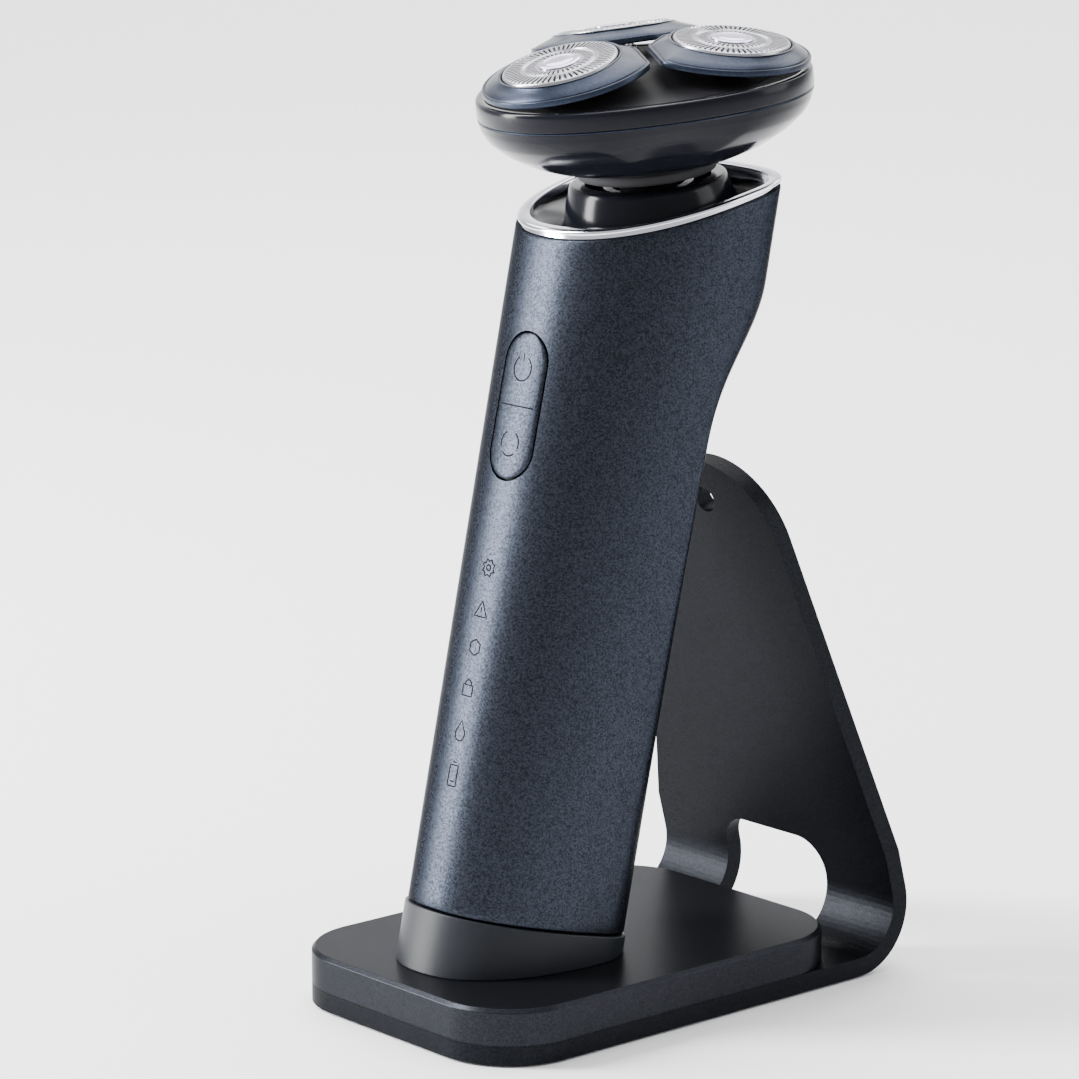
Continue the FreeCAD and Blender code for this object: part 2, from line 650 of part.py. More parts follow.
def lobed_wire(radius, lobe, height):
    """Three-lobed outline: a circle whose radius swells at each pod."""
    points = []
    for k in range(LOBED_POINTS):
        angle = 2 * math.pi * k / LOBED_POINTS
        r = radius + lobe * math.cos(3 * (angle + math.pi / 2))
        points.append(Vector(r * math.cos(angle), r * math.sin(angle), height))
    return closed_curve(points)


def bowl_solid(inset):
    """The bowl's outer form, drawn in by an inset."""
    wires = []
    for level, radius, lobe in BOWL_PROFILE:
        height = BOWL_BOTTOM + level * (SEAM_HEIGHT - BOWL_BOTTOM) + (inset if level < 0.01 else 0)
        wires.append(lobed_wire(radius - inset, lobe, height))
    return Part.makeLoft(wires, True, False)


def make_head_bowl():
    """Glossy lower shell of the head, open on top."""
    bowl = bowl_solid(0.0).cut(bowl_solid(1.4))
    return moved(bowl.cut(cylinder(LATCH_RADIUS - 0.9, -5, 5)), HEAD_FRAME)


def lobed_prism(radius, lobe, low, high, top_draw=0.0):
    """A three-lobed block, a little narrower at the top."""
    return Part.makeLoft([lobed_wire(radius, lobe, low), lobed_wire(radius - top_draw, lobe, high)], True, False)


def make_head_ring():
    """Glossy band between the bowl and the pods."""
    low = SEAM_HEIGHT + 0.12
    band = lobed_prism(HEAD_RADIUS + 0.1, LOBE, low, RING_TOP, 0.25)
    return moved(band.cut(lobed_prism(HEAD_RADIUS - 1.9, LOBE, low - 1, RING_TOP + 1)), HEAD_FRAME)


def make_head_frame():
    """Gear carrier inside the ring, with stub axles for the cutter gears."""
    plate = lobed_prism(HEAD_RADIUS - 2.05, LOBE, GEAR_LOW - 1.5, GEAR_LOW - 0.2)
    post = cylinder(3.3, BOWL_BOTTOM + 1.45, GEAR_LOW - 1.4).cut(cylinder(2.6, 0, 30))
    stubs = []
    for angle in POD_ANGLES:
        x, y = polar(POD_RADIUS, angle)
        stubs.append(cylinder(0.8, GEAR_LOW - 0.3, GEAR_LOW + 1.4, x, y))
    frame = plate.fuse([post] + stubs).removeSplitter()
    return moved(frame.cut(cylinder(2.6, 0, 30)), HEAD_FRAME)


def make_head_latch():
    """Plug under the bowl that snaps into the mount."""
    plug = cylinder(LATCH_RADIUS, PIVOT_Z - 0.9, BOWL_BOTTOM - 0.02)
    collar = cylinder(LATCH_RADIUS - 1.0, BOWL_BOTTOM - 0.1, BOWL_BOTTOM + 1.4)
    return moved(plug.fuse(collar).removeSplitter().cut(cylinder(2.35, -10, 10)), HEAD_FRAME)


def polar(radius, angle):
    """A point at an angle in degrees."""
    return radius * math.cos(math.radians(angle)), radius * math.sin(math.radians(angle))


def gear(teeth, low, high, phase=0.0):
    """A spur gear with straight-flanked teeth."""
    pitch = GEAR_MODULE * teeth / 2
    root, tip = pitch - 1.15 * GEAR_MODULE, pitch + 0.85 * GEAR_MODULE
    half = math.pi / (2 * teeth)
    points = []
    for k in range(teeth):
        middle = phase + 2 * math.pi * k / teeth
        for r, a in ((root, -1.45 * half), (tip, -0.42 * half), (tip, 0.42 * half), (root, 1.45 * half)):
            points.append((r * math.cos(middle + a), r * math.sin(middle + a)))
    return prism(points, low, high)


def make_centre_gear():
    """Driven by the spindle's tip, turns the three cutter gears."""
    wheel = gear(CENTRE_TEETH, GEAR_LOW, GEAR_HIGH, math.radians(POD_ANGLES[0]))
    hub = cylinder(3.6, GEAR_LOW, GEAR_HIGH + 1.4)
    wheel = wheel.fuse(hub).removeSplitter()
    return moved(wheel.cut(cylinder(SPINDLE_RADIUS + 1.2, 0, GEAR_HIGH + 0.6)), HEAD_FRAME)


def make_cutter_gear(angle):
    """Gear under a pod, with a ball-ended shaft for the cutter."""
    phase = math.radians(angle) + math.pi + math.pi / CUTTER_TEETH
    wheel = gear(CUTTER_TEETH, GEAR_LOW, GEAR_HIGH, phase)
    shaft = cylinder(1.3, GEAR_HIGH - 0.1, DRIVE_BALL_Z)
    ball = Part.makeSphere(1.5, Vector(0, 0, DRIVE_BALL_Z))
    body = wheel.fuse([shaft, ball]).removeSplitter().cut(cylinder(0.86, GEAR_LOW - 1, GEAR_LOW + 1.6))
    x, y = polar(POD_RADIUS, angle)
    body.translate(Vector(x, y, 0))
    return moved(body, HEAD_FRAME)


def make_gear_cover():
    """Black cover over the gears, rising to the middle under the pods."""
    rim_r = HEAD_RADIUS - LOBE - 2.4
    profile = [
        Vector(0, 0, COVER_LOW),
        Vector(rim_r, 0, COVER_LOW),
        Vector(rim_r, 0, COVER_LOW + 0.9),
        Vector(4.0, 0, COVER_PEAK),
        Vector(0, 0, COVER_PEAK),
    ]
    dome = Part.Face(Part.makePolygon(profile + profile[:1])).revolve(ORIGIN, Z_AXIS, 360)
    plate = lobed_prism(HEAD_RADIUS - 2.05, LOBE, COVER_LOW, COVER_LOW + 0.8)
    cover = dome.fuse(plate).removeSplitter().cut(cylinder(4.0, COVER_LOW - 1, GEAR_HIGH + 1.8))
    for angle in POD_ANGLES:
        x, y = polar(POD_RADIUS, angle)
        cover = cover.cut(cylinder(1.75, COVER_LOW - 1, 40, x, y))
        cover = cover.cut(cylinder(4.4, COVER_LOW + 1.2, 40, x, y))
    return moved(cover, HEAD_FRAME)


# ---- pods ----
def pod_frame(angle):
    """The frame of a pod: x outwards, z along the tilted cutter axis."""
    x, y = polar(POD_RADIUS, angle)
    spin = Rotation(Z_AXIS, angle)
    return HEAD_FRAME.multiply(Placement(Vector(x, y, POD_BASE), spin.multiply(Rotation(Y_AXIS, POD_TILT))))


def pod_outline(height, draw_side, draw_outer, draw_inner):
    """A petal: blunt inner corner, two straight sides and one outer arc."""
    offset = POD_GAP + draw_side
    dx, dy = offset * math.sin(math.radians(60)), offset * math.cos(math.radians(60))
    start = POD_TRUNCATION + draw_inner

    def side(t):
        return (-POD_RADIUS + t * 0.5 + dx, t * math.sin(math.radians(60)) - dy)

    inner_y = (start - dx) * math.tan(math.radians(60)) - dy
    inner = (-POD_RADIUS + start, max(inner_y, 0.6))
    corner = side(POD_CORNER - 0.6 * draw_outer)
    outer = POD_OUTER - draw_outer
    centre = (corner[0] ** 2 + corner[1] ** 2 - outer ** 2) / (2 * (corner[0] - outer))
    radius = outer - centre
    shoulder = Vector(centre + radius * math.cos(0.9), radius * math.sin(0.9), height)
    a, b = Vector(*inner, height), Vector(*corner, height)
    c, d = Vector(corner[0], -corner[1], height), Vector(inner[0], -inner[1], height)
    return Part.Wire([
        Part.LineSegment(a, b).toShape(),
        Part.Arc(b, shoulder, Vector(outer, 0, height)).toShape(),
        Part.Arc(Vector(outer, 0, height), Vector(shoulder.x, -shoulder.y, height), c).toShape(),
        Part.LineSegment(c, d).toShape(),
        Part.LineSegment(d, a).toShape(),
    ])


def make_pod(angle):
    """Petal-shaped pressure frame round a guard."""
    band = Part.Face(pod_outline(0, 0, 0, 0)).extrude(Vector(0, 0, POD_BAND))
    slope = Part.makeLoft([pod_outline(POD_BAND, 0, 0, 0), pod_outline(POD_TOP, 1.7, 2.9, 1.6)], True, True)
    pod = band.fuse(slope).removeSplitter()
    pod = pod.cut(cylinder(DISC_RADIUS + 0.2, -1, POD_TOP + 1))
    return moved(pod, pod_frame(angle))


def make_guard(angle):
    """Slotted steel guard: a shallow cup with two ring-shaped tracks."""
    cup = cylinder(DISC_RADIUS, 0.3, GUARD_TOP).cut(cylinder(DISC_RADIUS - 0.7, 0, GUARD_TOP - 0.45))
    cup = cup.cut(cylinder(6.3, GUARD_TOP - 0.2, 9).cut(cylinder(5.6, 0, 9)))
    cup = cup.cut(cylinder(3.0, 0, 9))
    slot = box(6.8, DISC_RADIUS + 1, -0.14, 0.14, GUARD_TOP - 1.3, GUARD_TOP + 1)
    slots = []
    for k in range(GUARD_SLOTS):
        one = slot.copy()
        one.rotate(ORIGIN, Z_AXIS, 360 * k / GUARD_SLOTS)
        slots.append(one)
    return moved(cup.cut(Part.makeCompound(slots)), pod_frame(angle))


def make_guard_cap(angle):
    """Centre cap of a guard."""
    cap = cylinder(3.9, GUARD_TOP + 0.02, GUARD_TOP + 0.4).fuse(cylinder(2.95, GUARD_TOP - 0.4, GUARD_TOP + 0.1))
    return moved(cap.removeSplitter(), pod_frame(angle))


def make_cutter(angle):
    """Rotary cutter: a hub with a ring of blades under the guard."""
    disc = cylinder(9.4, CUTTER_LOW, CUTTER_LOW + 0.5).fuse(cylinder(2.9, -2.4, CUTTER_LOW + 0.1))
    blades = cylinder(9.4, CUTTER_LOW + 0.4, GUARD_TOP - 0.6).cut(cylinder(7.2, 0, 9))
    notch = box(6.5, 10.5, -0.9, 0.9, CUTTER_LOW + 0.5, 9)
    notches = []
    for k in range(CUTTER_BLADES):
        one = notch.copy()
        one.rotate(ORIGIN, Z_AXIS, 360 * k / CUTTER_BLADES)
        notches.append(one)
    cutter = disc.fuse(blades.cut(Part.makeCompound(notches))).removeSplitter()
    return moved(cutter.cut(cylinder(2.15, -3, CUTTER_LOW + 0.05)), pod_frame(angle))


def make_pod_spring(angle):
    """Spring that holds a pod up against its stop."""
    coil = coil_spring(3.6, 0.4, COVER_LOW + 1.25, POD_BASE + 0.1, 3)
    x, y = polar(POD_RADIUS, angle)
    coil.translate(Vector(x, y, 0))
    return moved(coil, HEAD_FRAME)


def main():
    """Build every sub-part and write one STEP file for each."""
    sub_parts = {
        "stand_sheet": make_stand_sheet(),
        "base_housing": make_base_housing(),
        "dock_collar": make_dock_collar(),
        "dock_floor": make_dock_floor(),
        "dock_pin_left": make_dock_pin(-1),
        "dock_pin_right": make_dock_pin(1),
        "dock_spring_left": make_dock_spring(-1),
        "dock_spring_right": make_dock_spring(1),
        "charge_board": make_charge_board(),
        "charge_inlet": make_charge_inlet(),
        "base_feet": make_base_feet(),
        "base_screws": make_base_screws(),
        "handle_shell": make_handle_shell(),
        "rim_trim": make_rim_trim(),
        "deck": make_deck(),
        "neck": make_neck(),
        "neck_bearing": make_neck_bearing(),
        "inner_frame": make_inner_frame(),
        "foot_cap": make_foot_cap(),
        "foot_contacts": make_foot_contacts(),
        "foot_seal": make_foot_seal(),
        "battery_cell": make_battery_cell(),
        "control_board": make_control_board(),
        "motor": make_motor(),
        "motor_driver": make_motor_driver(),
        "drive_spindle": make_drive_spindle(),
        "button": make_button(),
        "button_seal": make_button_seal(),
        "button_switches": make_button_switches(),
        "display_lens": make_display_lens(),
        "tilt_ring": make_tilt_ring(),
        "head_mount": make_head_mount(),
        "neck_seal": make_neck_seal(),
        "head_bowl": make_head_bowl(),
        "head_ring": make_head_ring(),
        "head_frame": make_head_frame(),
        "head_latch": make_head_latch(),
        "centre_gear": make_centre_gear(),
        "gear_cover": make_gear_cover(),
    }
    for number, angle in enumerate(POD_ANGLES, 1):
        sub_parts[f"cutter_gear_{number}"] = make_cutter_gear(angle)
        sub_parts[f"pod_{number}"] = make_pod(angle)
        sub_parts[f"guard_{number}"] = make_guard(angle)
        sub_parts[f"guard_cap_{number}"] = make_guard_cap(angle)
        sub_parts[f"cutter_{number}"] = make_cutter(angle)
        sub_parts[f"pod_spring_{number}"] = make_pod_spring(angle)
    os.makedirs("parts", exist_ok=True)
    for node, shape in sub_parts.items():
        if not shape.isValid() or shape.Volume <= 0:
            print("check this shape:", node, shape.isValid(), shape.Volume)
        shape.exportStep(f"parts/{node}.step")
        b = shape.BoundBox
        print(f"{node:20s} solids {len(shape.Solids)} volume {shape.Volume:9.1f} z {b.ZMin:7.2f} {b.ZMax:7.2f}")


main()
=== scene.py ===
"""Studio scene of a three-head rotary shaver, leaning back in its bent metal charging stand.

Sizes in the classes are millimetres. Meshes are written in metres, in the CAD's frame:
+Z up, -Y towards the front, origin at the centre of the stand's footprint.
"""

import json
import logging
import math
from dataclasses import dataclass, field, replace
from enum import Enum
from typing import Sequence

import bmesh
import bpy
import numpy as np
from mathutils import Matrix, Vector

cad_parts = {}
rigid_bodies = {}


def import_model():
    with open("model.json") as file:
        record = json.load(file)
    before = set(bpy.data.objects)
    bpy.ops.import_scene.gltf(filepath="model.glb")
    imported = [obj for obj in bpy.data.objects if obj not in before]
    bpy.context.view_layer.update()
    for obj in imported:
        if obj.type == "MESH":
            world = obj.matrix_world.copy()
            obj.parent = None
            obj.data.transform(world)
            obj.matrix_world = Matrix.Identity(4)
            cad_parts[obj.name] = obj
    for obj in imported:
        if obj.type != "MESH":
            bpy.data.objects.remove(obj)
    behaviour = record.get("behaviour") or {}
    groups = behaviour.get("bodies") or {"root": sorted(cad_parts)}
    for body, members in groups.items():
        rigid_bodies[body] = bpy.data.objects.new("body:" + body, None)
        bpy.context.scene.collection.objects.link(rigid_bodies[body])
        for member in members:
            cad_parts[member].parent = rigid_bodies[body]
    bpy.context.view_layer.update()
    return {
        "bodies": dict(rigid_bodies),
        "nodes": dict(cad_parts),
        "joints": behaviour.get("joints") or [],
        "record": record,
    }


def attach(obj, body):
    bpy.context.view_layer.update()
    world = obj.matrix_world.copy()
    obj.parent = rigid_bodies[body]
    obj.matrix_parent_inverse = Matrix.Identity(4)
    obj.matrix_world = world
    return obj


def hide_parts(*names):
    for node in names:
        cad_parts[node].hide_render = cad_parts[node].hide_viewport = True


LOG = logging.getLogger("shaver")
MM = 0.001
FULL_TURN = 2.0 * math.pi

Array = np.ndarray


class Finish(Enum):
    """Surface finishes of the shaver and its stand."""

    STAND_PAINT = "stand_paint"
    BASE_PAINT = "base_paint"
    HANDLE_METAL = "handle_metal"
    COLLAR_PLASTIC = "collar_plastic"
    INNER_PLASTIC = "inner_plastic"
    RUBBER = "rubber"
    CONTACT = "contact"
    STEEL = "steel"
    BOARD = "board"
    CELL = "cell"
    RIM = "rim"
    BLACK_GLOSS = "black_gloss"
    BUTTON = "button"
    LENS = "lens"
    GEAR_PLASTIC = "gear_plastic"
    POD = "pod"
    CAP = "cap"


# ---- finishes
@dataclass(frozen=True)
class SurfaceFinish:
    """A procedural finish: a base shader, cloudy tone, fine grain and relief.

    Grain is one random value per cell of a fine Voronoi pattern, as in metallic paint.
    Cloud is soft noise that shifts the tone. Relief is a bump from noise. The edge tint
    dims the mirror-like sheen, on metals mostly where the surface turns away.
    """

    name: str
    colour: tuple[float, float, float]
    metallic: float = 0.0
    roughness: float = 0.4
    coat: float = 0.0
    coat_roughness: float = 0.05
    specular: float = 0.5
    cloud_scale: float = 25.0
    cloud_amount: float = 0.08
    grain_scale: float = 0.0
    grain_amount: float = 0.0
    relief_scale: float = 400.0
    relief_depth: float = 0.0
    roughness_spread: float = 0.04
    edge_tint: float = 1.0

    def build(self) -> bpy.types.Material:
        """Make the node material.

        Returns:
            The new material.
        """
        material = bpy.data.materials.new(self.name)
        material.use_nodes = True
        tree = material.node_tree
        nodes, links = tree.nodes, tree.links
        shader = nodes["Principled BSDF"]
        shader.inputs["Metallic"].default_value = self.metallic
        shader.inputs["Coat Weight"].default_value = self.coat
        shader.inputs["Coat Roughness"].default_value = self.coat_roughness
        shader.inputs["Specular IOR Level"].default_value = self.specular
        shader.inputs["Specular Tint"].default_value = (self.edge_tint, self.edge_tint, self.edge_tint, 1)
        place = nodes.new("ShaderNodeTexCoord").outputs["Object"]
        cloud = nodes.new("ShaderNodeTexNoise")
        cloud.inputs["Scale"].default_value = self.cloud_scale
        cloud.inputs["Detail"].default_value = 4.0
        links.new(place, cloud.inputs["Vector"])
        tone = self._range(tree, cloud.outputs["Fac"], 1 - self.cloud_amount, 1 + self.cloud_amount)
        if self.grain_amount:
            cell = nodes.new("ShaderNodeTexVoronoi")
            cell.inputs["Scale"].default_value = self.grain_scale
            links.new(place, cell.inputs["Vector"])
            split = nodes.new("ShaderNodeSeparateColor")
            links.new(cell.outputs["Color"], split.inputs["Color"])
            flake = self._range(tree, split.outputs["Red"], 1 - self.grain_amount, 1 + self.grain_amount)
            product = nodes.new("ShaderNodeMath")
            product.operation = "MULTIPLY"
            links.new(tone, product.inputs[0])
            links.new(flake, product.inputs[1])
            tone = product.outputs["Value"]
        mix = nodes.new("ShaderNodeVectorMath")
        mix.operation = "SCALE"
        mix.inputs[0].default_value = self.colour
        links.new(tone, mix.inputs["Scale"])
        links.new(mix.outputs["Vector"], shader.inputs["Base Color"])
        rough = self._range(
            tree,
            cloud.outputs["Fac"],
            self.roughness - self.roughness_spread,
            self.roughness + self.roughness_spread,
        )
        links.new(rough, shader.inputs["Roughness"])
        if self.relief_depth:
            relief = nodes.new("ShaderNodeTexNoise")
            relief.inputs["Scale"].default_value = self.relief_scale
            relief.inputs["Detail"].default_value = 3.0
            links.new(place, relief.inputs["Vector"])
            bump = nodes.new("ShaderNodeBump")
            bump.inputs["Strength"].default_value = 1.0
            bump.inputs["Distance"].default_value = self.relief_depth * MM
            links.new(relief.outputs["Fac"], bump.inputs["Height"])
            links.new(bump.outputs["Normal"], shader.inputs["Normal"])
        return material

    def _range(
        self, tree: bpy.types.NodeTree, source: bpy.types.NodeSocket, low: float, high: float
    ) -> bpy.types.NodeSocket:
        """Spread a noise value over a range.

        Args:
            tree: The material's node tree.
            source: A socket with values about 0 to 1.
            low: Value at 0.
            high: Value at 1.

        Returns:
            The socket with the spread value.
        """
        node = tree.nodes.new("ShaderNodeMapRange")
        node.inputs["To Min"].default_value = low
        node.inputs["To Max"].default_value = high
        tree.links.new(source, node.inputs["Value"])
        return node.outputs["Result"]


FINISHES: dict[Finish, SurfaceFinish] = {
    Finish.STAND_PAINT: SurfaceFinish(
        "stand_paint", (0.0075, 0.0083, 0.0105), metallic=0.6, roughness=0.38, specular=0.16,
        edge_tint=0.3, grain_scale=3600, grain_amount=0.35, relief_scale=2600, relief_depth=0.012,
    ),
    Finish.BASE_PAINT: SurfaceFinish(
        "base_paint", (0.015, 0.016, 0.020), metallic=0.75, roughness=0.33, specular=0.2,
        edge_tint=0.5, grain_scale=3600, grain_amount=0.25, relief_scale=2600, relief_depth=0.01,
    ),
    Finish.HANDLE_METAL: SurfaceFinish(
        "handle_metal", (0.0225, 0.0262, 0.0350), metallic=0.9, roughness=0.36, specular=0.3,
        edge_tint=0.3, grain_scale=3800, grain_amount=0.5, relief_scale=3000, relief_depth=0.012,
    ),
    Finish.COLLAR_PLASTIC: SurfaceFinish(
        "collar_plastic", (0.008, 0.0095, 0.013), roughness=0.42, specular=0.3, edge_tint=0.6,
        relief_scale=1800, relief_depth=0.015,
    ),
    Finish.INNER_PLASTIC: SurfaceFinish(
        "inner_plastic", (0.012, 0.012, 0.014), roughness=0.55, specular=0.12, edge_tint=0.4,
        relief_scale=1500, relief_depth=0.02,
    ),
    Finish.RUBBER: SurfaceFinish(
        "rubber", (0.028, 0.028, 0.031), roughness=0.72, specular=0.3, relief_scale=2200,
        relief_depth=0.03, cloud_amount=0.15,
    ),
    Finish.CONTACT: SurfaceFinish(
        "contact", (0.83, 0.62, 0.28), metallic=1.0, roughness=0.25, relief_scale=900, relief_depth=0.01,
    ),
    Finish.STEEL: SurfaceFinish(
        "steel", (0.36, 0.36, 0.385), metallic=1.0, roughness=0.25, relief_scale=1400,
        relief_depth=0.012, cloud_scale=160,
    ),
    Finish.BOARD: SurfaceFinish(
        "board", (0.02, 0.16, 0.07), roughness=0.4, coat=0.4, grain_scale=900, grain_amount=0.2,
    ),
    Finish.CELL: SurfaceFinish(
        "cell", (0.07, 0.22, 0.42), roughness=0.4, relief_scale=300, relief_depth=0.01,
    ),
    Finish.RIM: SurfaceFinish(
        "rim", (0.74, 0.74, 0.80), metallic=1.0, roughness=0.12, relief_scale=500, relief_depth=0.004,
    ),
    Finish.BLACK_GLOSS: SurfaceFinish(
        "black_gloss", (0.005, 0.0055, 0.0085), roughness=0.17, specular=0.22, edge_tint=0.5,
        relief_scale=120, relief_depth=0.002, roughness_spread=0.03,
    ),
    Finish.LENS: SurfaceFinish(
        "lens", (0.006, 0.006, 0.008), roughness=0.6, specular=0.05, edge_tint=0.2,
        relief_scale=900, relief_depth=0.004,
    ),
    Finish.GEAR_PLASTIC: SurfaceFinish(
        "gear_plastic", (0.72, 0.71, 0.66), roughness=0.42, relief_scale=900, relief_depth=0.01,
    ),
    Finish.POD: SurfaceFinish(
        "pod", (0.016, 0.022, 0.038), metallic=0.7, roughness=0.3, specular=0.3,
        grain_scale=3600, grain_amount=0.25, relief_scale=2600, relief_depth=0.008,
    ),
    Finish.CAP: SurfaceFinish(
        "cap", (0.66, 0.63, 0.78), metallic=1.0, roughness=0.18, relief_scale=900, relief_depth=0.006,
    ),
}
FINISHES[Finish.BUTTON] = replace(FINISHES[Finish.HANDLE_METAL], name="button")

# painted shade: the gear cover lies in shade under the pods, so it is given the dark, matt inner plastic
# instead of its slot's light finish
PAINTED_SHADE_FINISH: dict[str, Finish] = {"gear_cover": Finish.INNER_PLASTIC}


class Palette:
    """Builds each finish once and hands it out."""

    def __init__(self) -> None:
        """Start with nothing built."""
        self._built: dict[Finish, bpy.types.Material] = {}

    def get(self, finish: Finish) -> bpy.types.Material:
        """The material of a finish.

        Args:
            finish: Which finish.

        Returns:
            Its material, built on first use.
        """
        if finish not in self._built:
            self._built[finish] = FINISHES[finish].build()
        return self._built[finish]


# ---- frames and meshes
@dataclass(frozen=True)
class Seat:
    """A local frame: an origin in millimetres and a 3 by 3 rotation."""

    origin: tuple[float, float, float]
    turn: Array

    def to_row(self, points: Array) -> Array:
        """Local points in the row frame: the rotation, then the shift.

        Args:
            points: An array (..., 3) in millimetres.

        Returns:
            The same array in the row frame, in millimetres.
        """
        return points @ self.turn.T + np.array(self.origin)

    def inner(self, origin: tuple[float, float, float], turn: Array) -> "Seat":
        """A frame given inside this one.

        Args:
            origin: Its origin here.
            turn: Its rotation here.

        Returns:
            The frame in the row frame.
        """
        place = self.to_row(np.array(origin))
        return Seat((float(place[0]), float(place[1]), float(place[2])), self.turn @ turn)


def turn_x(degrees: float) -> Array:
    """Rotation about X: y turns towards z.

    Args:
        degrees: The angle.

    Returns:
        A 3 by 3 rotation.
    """
    c, s = math.cos(math.radians(degrees)), math.sin(math.radians(degrees))
    return np.array([[1, 0, 0], [0, c, -s], [0, s, c]])


def turn_y(degrees: float) -> Array:
    """Rotation about Y: z turns towards x.

    Args:
        degrees: The angle.

    Returns:
        A 3 by 3 rotation.
    """
    c, s = math.cos(math.radians(degrees)), math.sin(math.radians(degrees))
    return np.array([[c, 0, s], [0, 1, 0], [-s, 0, c]])


def turn_z(degrees: float) -> Array:
    """Rotation about Z: x turns towards y.

    Args:
        degrees: The angle.

    Returns:
        A 3 by 3 rotation.
    """
    c, s = math.cos(math.radians(degrees)), math.sin(math.radians(degrees))
    return np.array([[c, -s, 0], [s, c, 0], [0, 0, 1]])


def smooth_step(x: Array) -> Array:
    """Rises from 0 to 1 as 3x^2 - 2x^3, flat outside that range.

    Args:
        x: Any values.

    Returns:
        Values from 0 to 1.
    """
    t = np.clip(x, 0.0, 1.0)
    return t * t * (3 - 2 * t)


def grid_mesh(
    name: str,
    rows: Array,
    wrap_rows: bool = False,
    wrap_columns: bool = True,
    smooth_degrees: float = 35.0,
) -> bpy.types.Object:
    """A mesh from a grid of points, as quads between neighbours.

    Args:
        name: The piece's name.
        rows: Points (rows, columns, 3) in millimetres, in the row frame.
        wrap_rows: The last row joins the first.
        wrap_columns: The last column joins the first.
        smooth_degrees: Edges sharper than this stay hard.

    Returns:
        The new object, in metres.
    """
    index = np.arange(rows.shape[0] * rows.shape[1]).reshape(rows.shape[:2])
    down = np.roll(index, -1, 0) if wrap_rows else index[1:]
    top = index if wrap_rows else index[:-1]
    if wrap_columns:
        quads = np.stack([top, np.roll(top, -1, 1), np.roll(down, -1, 1), down], -1)
    else:
        quads = np.stack([top[:, :-1], top[:, 1:], down[:, 1:], down[:, :-1]], -1)
    mesh = bpy.data.meshes.new(name)
    mesh.from_pydata(rows.reshape(-1, 3) * MM, [], quads.reshape(-1, 4).tolist())
    return finish_mesh(name, mesh, smooth_degrees)


def finish_mesh(name: str, mesh: bpy.types.Mesh, smooth_degrees: float) -> bpy.types.Object:
    """Merge doubles, point the faces outwards and shade a mesh.

    Args:
        name: The piece's name.
        mesh: Its mesh, in metres.
        smooth_degrees: Edges sharper than this stay hard.

    Returns:
        The linked object.
    """
    work = bmesh.new()
    work.from_mesh(mesh)
    bmesh.ops.remove_doubles(work, verts=work.verts, dist=1e-7)
    bmesh.ops.dissolve_degenerate(work, edges=work.edges, dist=1e-8)
    bmesh.ops.recalc_face_normals(work, faces=work.faces)
    work.to_mesh(mesh)
    work.free()
    mesh.shade_smooth()
    mesh.set_sharp_from_angle(angle=math.radians(smooth_degrees))
    piece = bpy.data.objects.new(name, mesh)
    bpy.context.scene.collection.objects.link(piece)
    return piece


def circle(count: int) -> Array:
    """Angles of a full turn, evenly spaced.

    Args:
        count: How many.

    Returns:
        Angles (count,) in radians.
    """
    return np.arange(count) * FULL_TURN / count


def rings(radius: Array, z: Array, angle: Array) -> Array:
    """Points round an upright axis, a row for each height.

    Args:
        radius: Radii that broadcast to (rows, around).
        z: Heights that broadcast to the same shape.
        angle: Angles (around,).

    Returns:
        Points (rows, around, 3).
    """
    radius, z = np.broadcast_arrays(radius + 0.0 * angle, z + 0.0 * angle)
    return np.stack([radius * np.cos(angle), radius * np.sin(angle), z], -1)


def turned(
    name: str, profile: Sequence[tuple[float, float]], seat: Seat, count: int = 128
) -> bpy.types.Object:
    """A closed turned body: each profile point (radius, z) swept round the seat's z.

    Args:
        name: The piece's name.
        profile: Radius and height in millimetres; the loop closes on itself.
        seat: The frame that it stands in.
        count: Steps round.

    Returns:
        The new object.
    """
    table = np.array(profile, float)
    rows = rings(table[:, :1], table[:, 1:], circle(count))
    return grid_mesh(name, seat.to_row(rows), wrap_rows=True)


def tube_along(name: str, paths: Sequence[Array], width: float, height: float) -> bpy.types.Object:
    """Flat raised lines: a low rectangle carried along each path of (point, side, up).

    Each path is an array (n, 3, 3) of places, sideways directions and outward
    directions. A closed path repeats its first place at the end.

    Args:
        name: The piece's name.
        paths: The paths, in millimetres.
        width: Width of the line.
        height: How far the line stands proud.

    Returns:
        The new object.
    """
    corner = np.array([(-0.5, -0.6), (-0.5, 0.7), (-0.3, 1.0), (0.3, 1.0), (0.5, 0.7), (0.5, -0.6)])
    verts: list[Array] = []
    faces: list[list[int]] = []
    base = 0
    for path in paths:
        place, side, out = path[:, 0], path[:, 1], path[:, 2]
        rows = (
            place[:, None]
            + side[:, None] * corner[:, 0][None, :, None] * width
            + out[:, None] * corner[:, 1][None, :, None] * height
        )
        count, around = rows.shape[:2]
        index = base + np.arange(count * around).reshape(count, around)
        quads = np.stack([index[:-1], np.roll(index[:-1], -1, 1), np.roll(index[1:], -1, 1), index[1:]], -1)
        faces += quads.reshape(-1, 4).tolist()
        if np.linalg.norm(place[0] - place[-1]) > 1e-6:
            faces += [index[0].tolist(), index[-1].tolist()]
        verts.append(rows.reshape(-1, 3))
        base += count * around
    mesh = bpy.data.meshes.new(name)
    mesh.from_pydata(np.vstack(verts) * MM, [], faces)
    return finish_mesh(name, mesh, 50.0)


